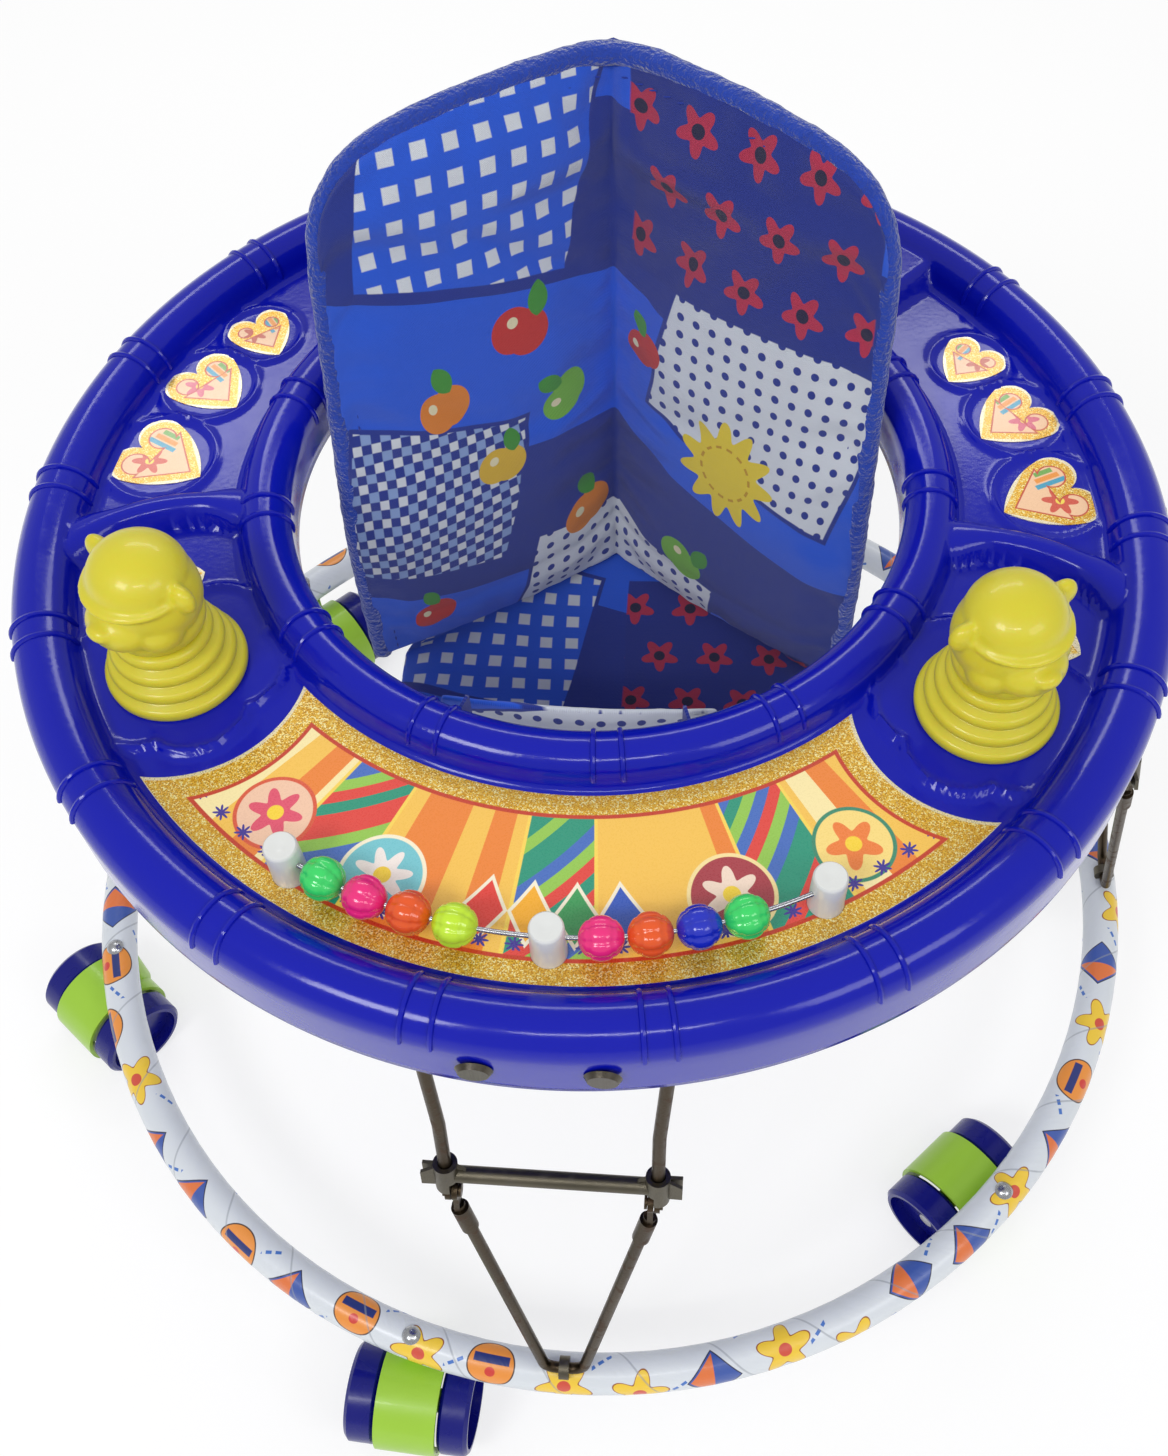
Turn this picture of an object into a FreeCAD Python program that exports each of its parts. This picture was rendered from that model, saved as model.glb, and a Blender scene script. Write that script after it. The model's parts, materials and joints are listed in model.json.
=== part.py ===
"""Baby activity walker: a round play tray and seat on four folding wire legs.

The floor ring rolls on six twin-wheel casters. Four wire legs, each a V below a knee and a U
above it, carry the tray. A sliding bar with two collars locks each knee. The tray holds two
bead wires, two squeeze toys and a padded fabric seat.

Frame: millimetres, +Z up, the front of the tray faces -Y. The origin is on the floor, at the
centre of the ring. Angles round the walker are counted from the front towards +X.
"""
import FreeCAD, Part
import math
import os
import Sketcher

from FreeCAD import Placement, Rotation, Vector

os.makedirs("parts", exist_ok=True)

SIZES = {
    # Floor ring: a bent steel tube wrapped in printed tape
    "ring_radius": 296.0,
    "ring_height": 66.0,
    "ring_tube_radius": 9.5,
    "ring_tube_wall": 1.2,
    "tape_thickness": 0.5,
    "tape_gap": 0.05,
    # Casters
    "caster_angle_one": -15.5,
    "caster_angle_two": 49.4,
    "caster_angle_three": 106.4,
    "caster_swivel_one": 11.9,
    "caster_swivel_two": 176.0,
    "caster_swivel_three": -133.8,
    "caster_swivel_six": 35.6,
    "caster_trail": 21.0,
    "wheel_radius": 25.0,
    "wheel_width": 16.0,
    "wheel_gap": 0.4,
    "wheel_edge": 2.0,
    "wheel_rim_wall": 4.0,
    "wheel_dish": 7.0,
    "axle_radius": 2.5,
    "axle_cap_radius": 4.2,
    "axle_cap_thickness": 1.5,
    "fender_radius": 27.0,
    "fender_width": 32.0,
    "fender_wall": 2.2,
    "fender_skirt": 14.0,
    "fender_web": 6.0,
    "fender_hub_radius": 6.0,
    "stem_boss_radius": 8.0,
    "stem_boss_drop": 26.0,
    "stem_gap": 0.6,
    "swivel_pin_radius": 3.0,
    "swivel_pin_reach": 34.0,
    "swivel_head_radius": 4.8,
    "swivel_head_height": 2.6,
    # Fits
    "running_fit": 0.06,
    "seat_fit": 0.1,
    "soft_clearance": 0.3,
    "overrun": 1.0,
    # Legs: a V of wire below the knee and a U above it
    "leg_count": 4.0,
    "wire_radius": 2.75,
    "leg_lower": 177.0,
    "lug_rise": 13.5,
    "lug_radius": 5.6,
    "lug_width": 5.0,
    "lug_foot_depth": 8.0,
    "apex_half": 4.0,
    "apex_bend": 7.0,
    "knee_half": 42.0,
    "knee_tab_radius": 4.4,
    "knee_tab_thickness": 2.4,
    "knee_tab_gap": 0.4,
    "knee_tab_length": 15.0,
    "knee_pin_radius": 1.6,
    "knee_head_radius": 3.1,
    "knee_head_thickness": 1.2,
    "ferrule_radius": 3.9,
    "ferrule_length": 17.0,
    "ferrule_drop": 3.0,
    "upper_straight": 52.0,
    "upper_top_half": 47.0,
    "upper_bend": 30.0,
    "top_bar_bend": 8.0,
    # Lock bar: a rod between two folded collars
    "lock_rod_radius": 3.6,
    "lock_collar_height": 17.0,
    "lock_collar_wall": 2.0,
    "lock_collar_gap": 0.35,
    "lock_fin_length": 5.0,
    "lock_fin_thickness": 1.6,
    "lock_gusset": 9.0,
    "lock_notch": 6.5,
    # Tray
    "tray_radius": 250.0,
    "tray_base_height": 352.0,
    "tray_height": 39.0,
    "tray_wall": 2.5,
    "tray_floor_height": 24.0,
    "rim_radius": 13.0,
    "hole_rim_radius": 11.0,
    "hole_radius": 136.0,
    "hole_offset": 22.0,
    "hole_wall_lift": 8.0,
    "plateau_angle": 137.0,
    "plateau_height": 34.0,
    "divider_width": 9.0,
    "divider_height": 10.0,
    "divider_reach": 83.0,
    # Hinge brackets inside the skirt
    "tray_pivot_inset": 13.5,
    "tray_pivot_lift": 12.0,
    "bracket_half": 30.0,
    "bracket_height": 19.0,
    "bracket_thickness": 1.5,
    "bracket_drop": 6.0,
    "ear_offset": 11.0,
    "ear_width": 7.0,
    "ear_wall": 2.0,
    "ear_play": 3.3,
    "rivet_offset": 23.0,
    "rivet_lift": 17.0,
    "rivet_radius": 2.5,
    "rivet_head_radius": 7.0,
    "rivet_head_thickness": 2.0,
    "rivet_tail": 0.5,
    # Labels on the tray floor
    "label_thickness": 0.4,
    "front_label_inset": 29.0,
    "front_label_gap": 2.0,
    "front_label_clear": 54.0,
    "heart_large": 40.0,
    "heart_middle": 36.0,
    "heart_small": 30.0,
    "heart_angle_one": 97.6,
    "heart_angle_two": 111.4,
    "heart_angle_three": 122.8,
    "heart_inset": 48.0,
    "heart_turn": 20.0,
    # Bead wires
    "bead_row_inset": 44.0,
    "bead_wire_radius": 1.0,
    "bead_wire_lift": 12.5,
    "bead_radius": 8.5,
    "bead_pitch_angle": 4.95,
    "bead_first_left": -24.3,
    "bead_first_right": 5.4,
    "post_radius": 7.0,
    "post_height": 21.0,
    "post_angle": 29.3,
    # Squeeze toys
    "toy_angle": 62.0,
    "toy_inset": 63.0,
    "toy_base_radius": 29.0,
    "toy_neck_radius": 17.0,
    "toy_rib_depth": 3.4,
    "toy_rib_count": 4.0,
    "toy_bellows_height": 30.0,
    "toy_wall": 1.6,
    "toy_head_radius": 24.0,
    "toy_head_height": 46.0,
    "toy_label_width": 30.0,
    "toy_label_length": 46.0,
    # Seat: a folded back panel, a padded pouch and six straps
    "seat_half": 120.0,
    "seat_drop": 120.0,
    "waist_drop": 32.0,
    "seat_rise": 159.0,
    "crease_foot": 100.0,
    "crease_top": 141.0,
    "wing_foot": 20.0,
    "wing_top": 74.0,
    "shoulder_radius": 22.0,
    "pad_crown": 10.0,
    "pad_crease": 5.0,
    "pad_edge": 4.0,
    "board_thickness": 2.5,
    "back_cloth": 1.6,
    "layer_gap": 0.3,
    "binding_radius": 5.5,
    "pouch_half": 112.0,
    "pouch_front_half": 68.0,
    "pouch_front_depth": 88.0,
    "pouch_front_rise": 12.0,
    "pouch_thickness": 9.0,
    "pouch_sag": 9.0,
    "strap_thickness": 1.6,
    "strap_width": 16.0,
    "strap_lift": 0.0,
    "strap_gap": 0.1,
    "stud_head_radius": 4.8,
    "strap_flat": 16.0,
    "strap_rear_inner": 22.0,
    "strap_rear_outer": 50.0,
    "strap_front": 24.0,
    "stud_radius": 2.4,
    "stud_length": 8.0,
    "stud_head": 1.5,
}

doc = FreeCAD.newDocument("walker")
sheet = doc.addObject("Spreadsheet::Sheet", "Dim")
for row, (alias, number) in enumerate(SIZES.items(), start=1):
    sheet.set(f"A{row}", alias)
    sheet.set(f"B{row}", repr(number))
    sheet.setAlias(f"B{row}", alias)
doc.recompute()

# Ratios inside one form
CUT_REACH = 4
FIN_FOOT_SHARE = 0.25
RIVET_TAPER_SHARE = 0.8
HEART_NOTCH_SHARE, HEART_TIP_SHARE = 1.1, 2.3
HEART_SIDE_SHARES = ((2.0, -0.6), (1.05, -1.9), (1.35, 0.95))
LABEL_BULGE_SHARE = 0.2
CHANNEL_SHARE, POST_TAPER_SHARE, WIRE_INSET_SHARE = 1.1, 0.94, 0.7
RIB_SHARES = (0.25, 0.625)
HEAD_MIDDLE_SHARE, HEAD_COLLAR_SHARE = 0.45, 0.2
# Each part of a toy's head: radius, place forwards and upwards, and its stretch
HEAD_SHARES = ((1.0, 0.0, 0.0, (1.0, 0.9, 0.86)),
               (0.46, 0.72, -0.28, (1.15, 1.0, 0.8)),
               (0.82, -0.05, 0.42, (1.0, 0.95, 0.72)))
EAR_SHARES = (0.3, 0.92, 0.42, (0.8, 0.7, 1.1))
PAD_CROWN_SHARES = (0.5, 1.0, 0.95, 0.45)
SHOULDER_SHARES = (0.87, 0.83, 0.96, 0.5, 0.985)
RUN_SHARE = 0.45
DEPTHWISE = 0.5
# Each section of the pouch: shares of the rear and front depths, lift in sags, rise to the
# front top, shares of the wide and narrow halves, and its tilt in degrees
POUCH_SECTIONS = ((1.0, 0.0, 0.5, 0.0, 0.94, 0.0, 0.0), (0.45, 0.0, -0.7, 0.0, 1.0, 0.0, 0.0),
                  (-0.1, 0.0, -1.0, 0.0, 0.97, 0.0, 0.0), (0.0, 0.46, -0.5, 0.0, 0.5, 0.5, 20.0),
                  (0.0, 0.66, 1.3, 0.0, 0.0, 1.0, 55.0), (0.0, 0.84, 0.0, 0.5, 0.0, 0.96, 75.0),
                  (0.0, 1.0, 0.0, 1.0, 0.0, 0.85, 75.0))
POUCH_BULGE_SHARE, POUCH_CLEAR_SHARE = 1 / 3, 0.2
STRAP_START_SHARE, STRAP_CLEAR_SHARE = 0.8, 1 / 3

X_AXIS, Y_AXIS, Z_AXIS = Vector(1, 0, 0), Vector(0, 1, 0), Vector(0, 0, 1)
ORIGIN = Vector(0, 0, 0)
FULL_TURN, HALF_TURN, QUARTER_TURN = 360.0, 180.0, 90.0
NODES = []


def size(alias):
    """Read one driving dimension from the sheet."""
    return float(sheet.get(alias))


def from_edge(alias):
    """Radius of something that keeps its distance from the tray's edge."""
    return size("tray_radius") - size(alias)


def from_tray(alias, way=-1):
    """Height of something that keeps its distance under, or over, the tray's lower edge."""
    return size("tray_base_height") + way * size(alias)


def doc_value(expression):
    """Work out an expression of sheet cells as a number."""
    return float(sheet.evalExpression(expression))


def bind(obj, **expressions):
    """Bind an object's properties to sheet cells; two underscores stand for a dot."""
    for name, text in expressions.items():
        obj.setExpression(name.replace("__", "."), text)
    return obj


def cylinder(name, radius, height, x="0", y="0", z="0", axis=None, angle=QUARTER_TURN):
    """A cylinder whose radius, height and place follow the sheet."""
    obj = doc.addObject("Part::Cylinder", name)
    if axis is not None:
        obj.Placement = Placement(ORIGIN, Rotation(axis, angle))
    return bind(obj, Radius=radius, Height=height, Placement__Base__x=x,
                Placement__Base__y=y, Placement__Base__z=z)


def box(name, length, width, height, x="0", y="0", z="0"):
    """A box whose sides and low corner follow the sheet."""
    obj = doc.addObject("Part::Box", name)
    return bind(obj, Length=length, Width=width, Height=height, Placement__Base__x=x,
                Placement__Base__y=y, Placement__Base__z=z)


def torus(name, ring, tube, z="0", x="0", y="0"):
    """A ring about the vertical whose two radii follow the sheet."""
    obj = doc.addObject("Part::Torus", name)
    return bind(obj, Radius1=ring, Radius2=tube, Placement__Base__x=x, Placement__Base__y=y,
                Placement__Base__z=z)


def fuse(name, *shapes):
    """Join objects into one."""
    obj = doc.addObject("Part::MultiFuse", name)
    obj.Shapes = list(shapes)
    return obj


def cut(name, base, tool):
    """Take one object out of another."""
    obj = doc.addObject("Part::Cut", name)
    obj.Base, obj.Tool = base, tool
    return obj


def common(name, *shapes):
    """Keep what objects share."""
    obj = doc.addObject("Part::MultiCommon", name)
    obj.Shapes = list(shapes)
    return obj


def group(name, *shapes):
    """Hold several separate solids as one node."""
    obj = doc.addObject("Part::Compound", name)
    obj.Links = list(shapes)
    return obj


def feature(name, shape):
    """An object whose form is worked out from sheet values in code."""
    obj = doc.addObject("Part::Feature", name)
    obj.Shape = shape
    return obj


def node(obj, label, place=None):
    """Name an object as a kept piece and set its place."""
    if place is not None:
        obj.Placement = place
    obj.Label = label
    NODES.append(obj)
    return obj


def round_walker(angle, radius=0.0, height=0.0, turn=0.0):
    """A place on a circle round the walker, turned to face outwards from the centre."""
    spin = Placement(ORIGIN, Rotation(Z_AXIS, angle))
    out = Placement(Vector(0, -radius, height), Rotation(Z_AXIS, turn))
    return spin.multiply(out)


def rounded_path(points, radii):
    """Straight runs joined by tangent arcs; radii has one value for each inner point."""
    edges = []
    start = points[0]
    for before, corner, after, radius in zip(points, points[1:], points[2:], radii):
        inward = (before - corner).normalize()
        outward = (after - corner).normalize()
        half = inward.getAngle(outward) / 2
        reach = radius / math.tan(half)
        bisector = (inward + outward).normalize()
        centre = corner + bisector * (radius / math.sin(half))
        enter = corner + inward * reach
        leave = corner + outward * reach
        middle = centre - bisector * radius
        edges.append(Part.LineSegment(start, enter).toShape())
        edges.append(Part.Arc(enter, middle, leave).toShape())
        start = leave
    edges.append(Part.LineSegment(start, points[-1]).toShape())
    return Part.Wire(edges)


def tube_along(path, radius):
    """A round bar that follows a path of runs and arcs."""
    first = path.OrderedEdges[0]
    begin = first.valueAt(first.FirstParameter)
    ring = Part.Wire(Part.makeCircle(radius, begin, first.tangentAt(first.FirstParameter)))
    return path.makePipeShell([ring], True, False)


def section(points, bulges):
    """A closed outline: each side is a line, or an arc through its middle moved by a bulge."""
    edges = []
    for begin, end, bulge in zip(points, points[1:] + points[:1], bulges):
        if bulge.Length:
            edges.append(Part.Arc(begin, (begin + end) * 0.5 + bulge, end).toShape())
        else:
            edges.append(Part.LineSegment(begin, end).toShape())
    return Part.Wire(edges)


# Floor ring, its tape, the caster pins and the leg lugs
def caster_stations():
    """Angle round the ring and swivel angle of each caster; opposite pins face each other."""
    angles = [size("caster_angle_" + name) for name in ("one", "two", "three")]
    swivels = [size("caster_swivel_" + name) for name in ("one", "two", "three", "one", "two", "six")]
    return list(zip(angles + [angle + HALF_TURN for angle in angles], swivels))


def pin_holes(name):
    """Upright drillings through the ring where the caster pins pass."""
    tools = []
    for index, (angle, _) in enumerate(caster_stations(), start=1):
        drill = cylinder(f"{name}_{index}", "Dim.swivel_pin_radius + Dim.seat_fit",
                         "Dim.ring_tube_radius * 4", z="Dim.ring_height - Dim.ring_tube_radius * 2")
        turn = math.radians(angle)
        bind(drill, Placement__Base__x=f"Dim.ring_radius * {math.sin(turn)}",
             Placement__Base__y=f"-Dim.ring_radius * {math.cos(turn)}")
        tools.append(drill)
    return fuse(name, *tools)


def build_ring():
    """The bent tube, hollow, with the drillings for the caster pins."""
    outside = torus("ring_outside", "Dim.ring_radius", "Dim.ring_tube_radius", "Dim.ring_height")
    inside = torus("ring_inside", "Dim.ring_radius", "Dim.ring_tube_radius - Dim.ring_tube_wall",
                   "Dim.ring_height")
    hollow = cut("ring_hollow", outside, inside)
    node(cut("ring", hollow, pin_holes("ring_drillings")), "base_ring_tube")


def build_tape():
    """The tape skin round the tube."""
    inner = "Dim.ring_tube_radius + Dim.tape_gap"
    outside = torus("tape_outside", "Dim.ring_radius", inner + " + Dim.tape_thickness",
                    "Dim.ring_height")
    inside = torus("tape_inside", "Dim.ring_radius", inner, "Dim.ring_height")
    skin = cut("tape_skin", outside, inside)
    node(cut("tape", skin, pin_holes("tape_drillings")), "ring_tape")


def tape_radius():
    """Outer radius of the wrapped tube."""
    return size("ring_tube_radius") + size("tape_gap") + size("tape_thickness")


def build_caster_pins():
    """Domed pins that hold the casters, one upright through the ring at each."""
    pins = []
    head_z = size("ring_height") + tape_radius()
    radius, rise = size("swivel_head_radius"), size("swivel_head_height")
    dome = (radius ** 2 + rise ** 2) / (2 * rise)
    for index, (angle, _) in enumerate(caster_stations(), start=1):
        ball = Part.makeSphere(dome, Vector(0, 0, head_z + rise - dome))
        slab = Part.makeCylinder(radius, rise, Vector(0, 0, head_z))
        shank = Part.makeCylinder(size("swivel_pin_radius"), head_z - size("swivel_pin_reach"),
                                  Vector(0, 0, size("swivel_pin_reach")))
        pin = ball.common(slab).fuse(shank)
        pins.append(feature(f"caster_pin_{index}", pin))
        pins[-1].Placement = round_walker(angle, size("ring_radius"))
    node(group("caster_pins", *pins), "caster_pins")


def leg_angles():
    """Angle of each leg round the walker: front, right, rear, left."""
    count = int(size("leg_count"))
    return [index * FULL_TURN / count for index in range(count)]


def build_lugs():
    """Small steel eyes on the ring that hold the lower wires."""
    lugs = []
    for index, angle in enumerate(leg_angles(), start=1):
        width = "Dim.lug_width"
        eye = cylinder(f"lug_eye_{index}", "Dim.lug_radius", width, x="-Dim.lug_width / 2",
                       y="-Dim.ring_radius", z="Dim.ring_height + Dim.lug_rise", axis=Y_AXIS)
        foot = box(f"lug_foot_{index}", width, "Dim.lug_foot_depth",
                   "Dim.lug_rise", x="-Dim.lug_width / 2",
                   y="-Dim.ring_radius - Dim.lug_foot_depth / 2", z="Dim.ring_height")
        bore = cylinder(f"lug_bore_{index}", "Dim.wire_radius + Dim.running_fit",
                        width + " + Dim.overrun * 2", x="-Dim.lug_width / 2 - Dim.overrun",
                        y="-Dim.ring_radius", z="Dim.ring_height + Dim.lug_rise", axis=Y_AXIS)
        saddle = torus(f"lug_saddle_{index}", "Dim.ring_radius",
                       "Dim.ring_tube_radius + Dim.tape_gap * 2 + Dim.tape_thickness",
                       "Dim.ring_height")
        solid = fuse(f"lug_solid_{index}", eye, foot)
        lug = cut(f"lug_{index}", solid, fuse(f"lug_void_{index}", bore, saddle))
        lug.Placement = Placement(ORIGIN, Rotation(Z_AXIS, angle))
        lugs.append(lug)
    node(group("leg_lugs", *lugs), "leg_lugs")


# Casters: housing, axle and wheel pair, built round the swivel axis with the trail along +X
def build_housing(index, place):
    """The lime housing: an arched fender, a web, the axle hub and the swivel boss."""
    tag = f"_{index}"
    across = dict(x="Dim.caster_trail", z="Dim.wheel_radius", axis=X_AXIS)
    half = "Dim.fender_width / 2"
    arch = cylinder("arch" + tag, "Dim.fender_radius", "Dim.fender_width", y=half, **across)
    hollow = cylinder("arch_hollow" + tag, "Dim.fender_radius - Dim.fender_wall",
                      "Dim.fender_width + Dim.overrun * 2", y=half + " + Dim.overrun", **across)
    web = cylinder("web" + tag, "Dim.fender_radius - Dim.fender_wall / 2", "Dim.fender_web",
                   y="Dim.fender_web / 2", **across)
    keep = box("fender_keep" + tag, "Dim.fender_radius * 2", "Dim.fender_width",
               "Dim.fender_radius + Dim.fender_skirt",
               x="Dim.caster_trail - Dim.fender_radius", y="-" + half,
               z="Dim.wheel_radius - Dim.fender_skirt")
    shell = fuse("fender_shell" + tag, cut("arch_shell" + tag, arch, hollow), web)
    fender = common("fender" + tag, shell, keep)
    hub = cylinder("hub" + tag, "Dim.fender_hub_radius", "Dim.fender_width", y=half, **across)
    boss_top = "Dim.ring_height - Dim.ring_tube_radius - Dim.tape_thickness - Dim.stem_gap"
    boss = cylinder("boss" + tag, "Dim.stem_boss_radius", "Dim.stem_boss_drop",
                    z=boss_top + " - Dim.stem_boss_drop")
    bore = cylinder("axle_bore" + tag, "Dim.axle_radius + Dim.running_fit",
                    "Dim.fender_width + Dim.overrun * 2", y=half + " + Dim.overrun", **across)
    socket = cylinder("pin_socket" + tag, "Dim.swivel_pin_radius + Dim.running_fit",
                      boss_top + " + Dim.overrun - Dim.swivel_pin_reach + Dim.stem_gap",
                      z="Dim.swivel_pin_reach - Dim.stem_gap")
    body = fuse("housing_body" + tag, fender, hub, boss)
    housing = cut("housing" + tag, body, fuse("housing_void" + tag, bore, socket))
    node(housing, f"caster_housing_{index}", place)


def build_axle(index, place):
    """The steel axle with a cap pressed on each end."""
    tag = f"_{index}"
    reach = "(Dim.fender_width / 2 + Dim.wheel_gap + Dim.wheel_width - Dim.wheel_dish)"
    across = dict(x="Dim.caster_trail", z="Dim.wheel_radius", axis=X_AXIS)
    shaft = cylinder("shaft" + tag, "Dim.axle_radius", reach + " * 2", y=reach, **across)
    near = cylinder("cap_near" + tag, "Dim.axle_cap_radius", "Dim.axle_cap_thickness",
                    y=reach + " + Dim.axle_cap_thickness", **across)
    far = cylinder("cap_far" + tag, "Dim.axle_cap_radius", "Dim.axle_cap_thickness",
                   y="-" + reach, **across)
    node(fuse("axle" + tag, shaft, near, far), f"caster_axle_{index}", place)


def wheel_outline(body, tag):
    """Half outline of a dished wheel: radius across the page, width up it."""
    sketch = body.newObject("Sketcher::SketchObject", "wheel_sketch" + tag)
    planes = [item for item in body.Origin.OriginFeatures if item.Role == "XZ_Plane"]
    sketch.AttachmentSupport = [(planes[0], "")]
    sketch.MapMode = "FlatFace"
    bore = "Dim.axle_radius + Dim.tape_gap"
    dish_top = "Dim.wheel_width - Dim.wheel_dish"
    dish_out = "Dim.wheel_radius - Dim.wheel_rim_wall"
    corners = [(bore, None), ("Dim.wheel_radius - Dim.wheel_edge", None),
               ("Dim.wheel_radius", "Dim.wheel_edge"),
               ("Dim.wheel_radius", "Dim.wheel_width - Dim.wheel_edge"),
               ("Dim.wheel_radius - Dim.wheel_edge", "Dim.wheel_width"),
               (dish_out, "Dim.wheel_width"), (dish_out, dish_top), (bore, dish_top)]
    values = [(doc_value(across), doc_value(up) if up else 0.0) for across, up in corners]
    count = len(corners)
    for item in range(count):
        begin, end = values[item], values[(item + 1) % count]
        sketch.addGeometry(Part.LineSegment(Vector(*begin, 0), Vector(*end, 0)), False)
    constraint = Sketcher.Constraint
    for item in range(count):
        sketch.addConstraint(constraint("Coincident", item, 2, (item + 1) % count, 1))
    for item, (across, up) in enumerate(corners):
        mark = sketch.addConstraint(constraint("DistanceX", -1, 1, item, 1, values[item][0]))
        sketch.setExpression(f"Constraints[{mark}]", across)
        if up is None:
            sketch.addConstraint(constraint("PointOnObject", item, 1, -1))
        else:
            mark = sketch.addConstraint(constraint("DistanceY", -1, 1, item, 1, values[item][1]))
            sketch.setExpression(f"Constraints[{mark}]", up)
    return sketch


def build_wheels(index, place):
    """The two navy wheels, dished on their outer faces."""
    wheels = []
    for side in (1, -1):
        tag = f"_{index}_{'near' if side > 0 else 'far'}"
        body = doc.addObject("PartDesign::Body", "wheel" + tag)
        sketch = wheel_outline(body, tag)
        turn = body.newObject("PartDesign::Revolution", "wheel_turn" + tag)
        turn.Profile = sketch
        turn.ReferenceAxis = (sketch, ["V_Axis"])
        turn.Angle = FULL_TURN
        body.Tip = turn
        inner = size("fender_width") / 2 + size("wheel_gap")
        body.Placement = Placement(Vector(size("caster_trail"), side * inner, size("wheel_radius")),
                                   Rotation(X_AXIS, -side * QUARTER_TURN))
        wheels.append(body)
    pair = doc.addObject("Part::Compound", f"wheels_{index}")
    pair.Links = wheels
    node(pair, f"caster_wheels_{index}", place)


def build_casters():
    """All casters, each at its angle round the ring and turned to its swivel angle."""
    for index, (angle, swivel) in enumerate(caster_stations(), start=1):
        place = round_walker(angle, size("ring_radius"), turn=swivel - QUARTER_TURN)
        build_housing(index, place)
        build_axle(index, place)
        build_wheels(index, place)


# Legs, built in their own plane: X across, Z up along the leg, origin at the lug
def leg_lean():
    """How far a leg leans in from the upright, in degrees."""
    run = size("ring_radius") - from_edge("tray_pivot_inset")
    return math.degrees(math.atan2(run, leg_rise()))


def leg_rise():
    """Height of the tray pivot above the lug."""
    top = size("tray_base_height") + size("tray_pivot_lift")
    return top - size("ring_height") - size("lug_rise")


def leg_length():
    """Distance from the lug to the tray pivot."""
    return math.hypot(size("ring_radius") - from_edge("tray_pivot_inset"), leg_rise())


def leg_place(angle):
    """Place of a leg's own plane in the walker."""
    lean = Placement(Vector(0, -size("ring_radius"), size("ring_height") + size("lug_rise")),
                     Rotation(X_AXIS, -leg_lean()))
    return Placement(ORIGIN, Rotation(Z_AXIS, angle)).multiply(lean)


def disc_across(centre_x, height, radius, length):
    """A round bar along X, centred on a point of the leg plane."""
    return Part.makeCylinder(radius, length, Vector(centre_x - length / 2, 0, height), X_AXIS)


def knee_tab(centre_x, down):
    """A flattened wire end round the knee pin, reaching down or up along the leg."""
    radius, thickness = size("knee_tab_radius"), size("knee_tab_thickness")
    length, height = size("knee_tab_length"), size("leg_lower")
    eye = disc_across(centre_x, height, radius, thickness)
    low = height - length if down else height
    width = size("wire_radius") * 2
    strip = Part.makeBox(thickness, width, length,
                         Vector(centre_x - thickness / 2, -width / 2, low))
    return eye.fuse(strip)


def lower_knee_x():
    """Middle of the lower wire's knee tab, from the leg's centre line."""
    return size("knee_half") - (size("knee_tab_gap") + size("knee_tab_thickness")) / 2


def upper_knee_x():
    """Middle of the upper wire's knee tab."""
    return size("knee_half") + (size("knee_tab_gap") + size("knee_tab_thickness")) / 2


def build_lower_wire(index, place):
    """The V: its apex turns in the lug, its two ends are flattened round the knee pins."""
    wire, height = size("wire_radius"), size("leg_lower")
    knee = lower_knee_x()
    end = height - size("knee_tab_length") + wire
    half, bend = size("apex_half"), size("apex_bend")
    reach = math.hypot(knee - half, end - bend)
    slope = math.atan2(end - bend, knee - half) - math.asin(bend / reach)
    corner = half + bend * math.tan((math.pi / 2 - abs(math.pi / 2 - slope)) / 2)
    points = [Vector(-knee, 0, end), Vector(-corner, 0, 0), Vector(corner, 0, 0),
              Vector(knee, 0, end)]
    solid = tube_along(rounded_path(points, [bend, bend]), wire)
    voids = []
    for side in (-1, 1):
        top = Vector(side * knee, 0, end)
        along = (top - Vector(side * corner, 0, 0)).normalize()
        length = size("ferrule_length")
        drop = size("ferrule_drop") + length
        sleeve = Part.makeCylinder(size("ferrule_radius"), length, top - along * drop, along)
        solid = solid.fuse(sleeve).fuse(knee_tab(side * knee, True))
        voids.append(disc_across(side * knee, height, size("knee_pin_radius") + size("running_fit"),
                                 size("knee_tab_thickness") + size("overrun") * 2))
    solid = solid.cut(Part.makeCompound(voids))
    node(feature(f"lower_wire_{index}", solid.removeSplitter()), f"lower_wire_{index}", place)


def build_upper_wire(index, place):
    """The U with the two knee pins: parallel above the knees, then flared to its top bar."""
    wire, height = size("wire_radius"), size("leg_lower")
    knee, top = upper_knee_x(), leg_length()
    start = height + size("knee_tab_length") - wire
    bend_at = height + size("upper_straight")
    half = size("upper_top_half")
    points = [Vector(-knee, 0, start), Vector(-knee, 0, bend_at), Vector(-half, 0, top),
              Vector(half, 0, top), Vector(knee, 0, bend_at), Vector(knee, 0, start)]
    radii = [size("upper_bend"), size("top_bar_bend"), size("top_bar_bend"), size("upper_bend")]
    solid = tube_along(rounded_path(points, radii), wire)
    head, pin = size("knee_head_thickness"), size("knee_pin_radius")
    thickness, gap = size("knee_tab_thickness"), size("knee_tab_gap")
    for side in (-1, 1):
        length = 2 * thickness + 2 * gap + head
        inner = size("knee_half") - gap / 2 - thickness - gap / 2
        centre = inner + length / 2 - head
        pin_bar = disc_across(side * centre, height, pin, length)
        outer_head = disc_across(side * (knee + thickness / 2 + head / 2), height,
                                 size("knee_head_radius"), head)
        inner_head = disc_across(side * (inner - head / 2), height,
                                 size("knee_head_radius"), head)
        solid = solid.fuse(knee_tab(side * knee, False)).fuse(pin_bar)
        solid = solid.fuse(outer_head).fuse(inner_head)
    node(feature(f"upper_wire_{index}", solid.removeSplitter()), f"upper_wire_{index}", place)


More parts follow.
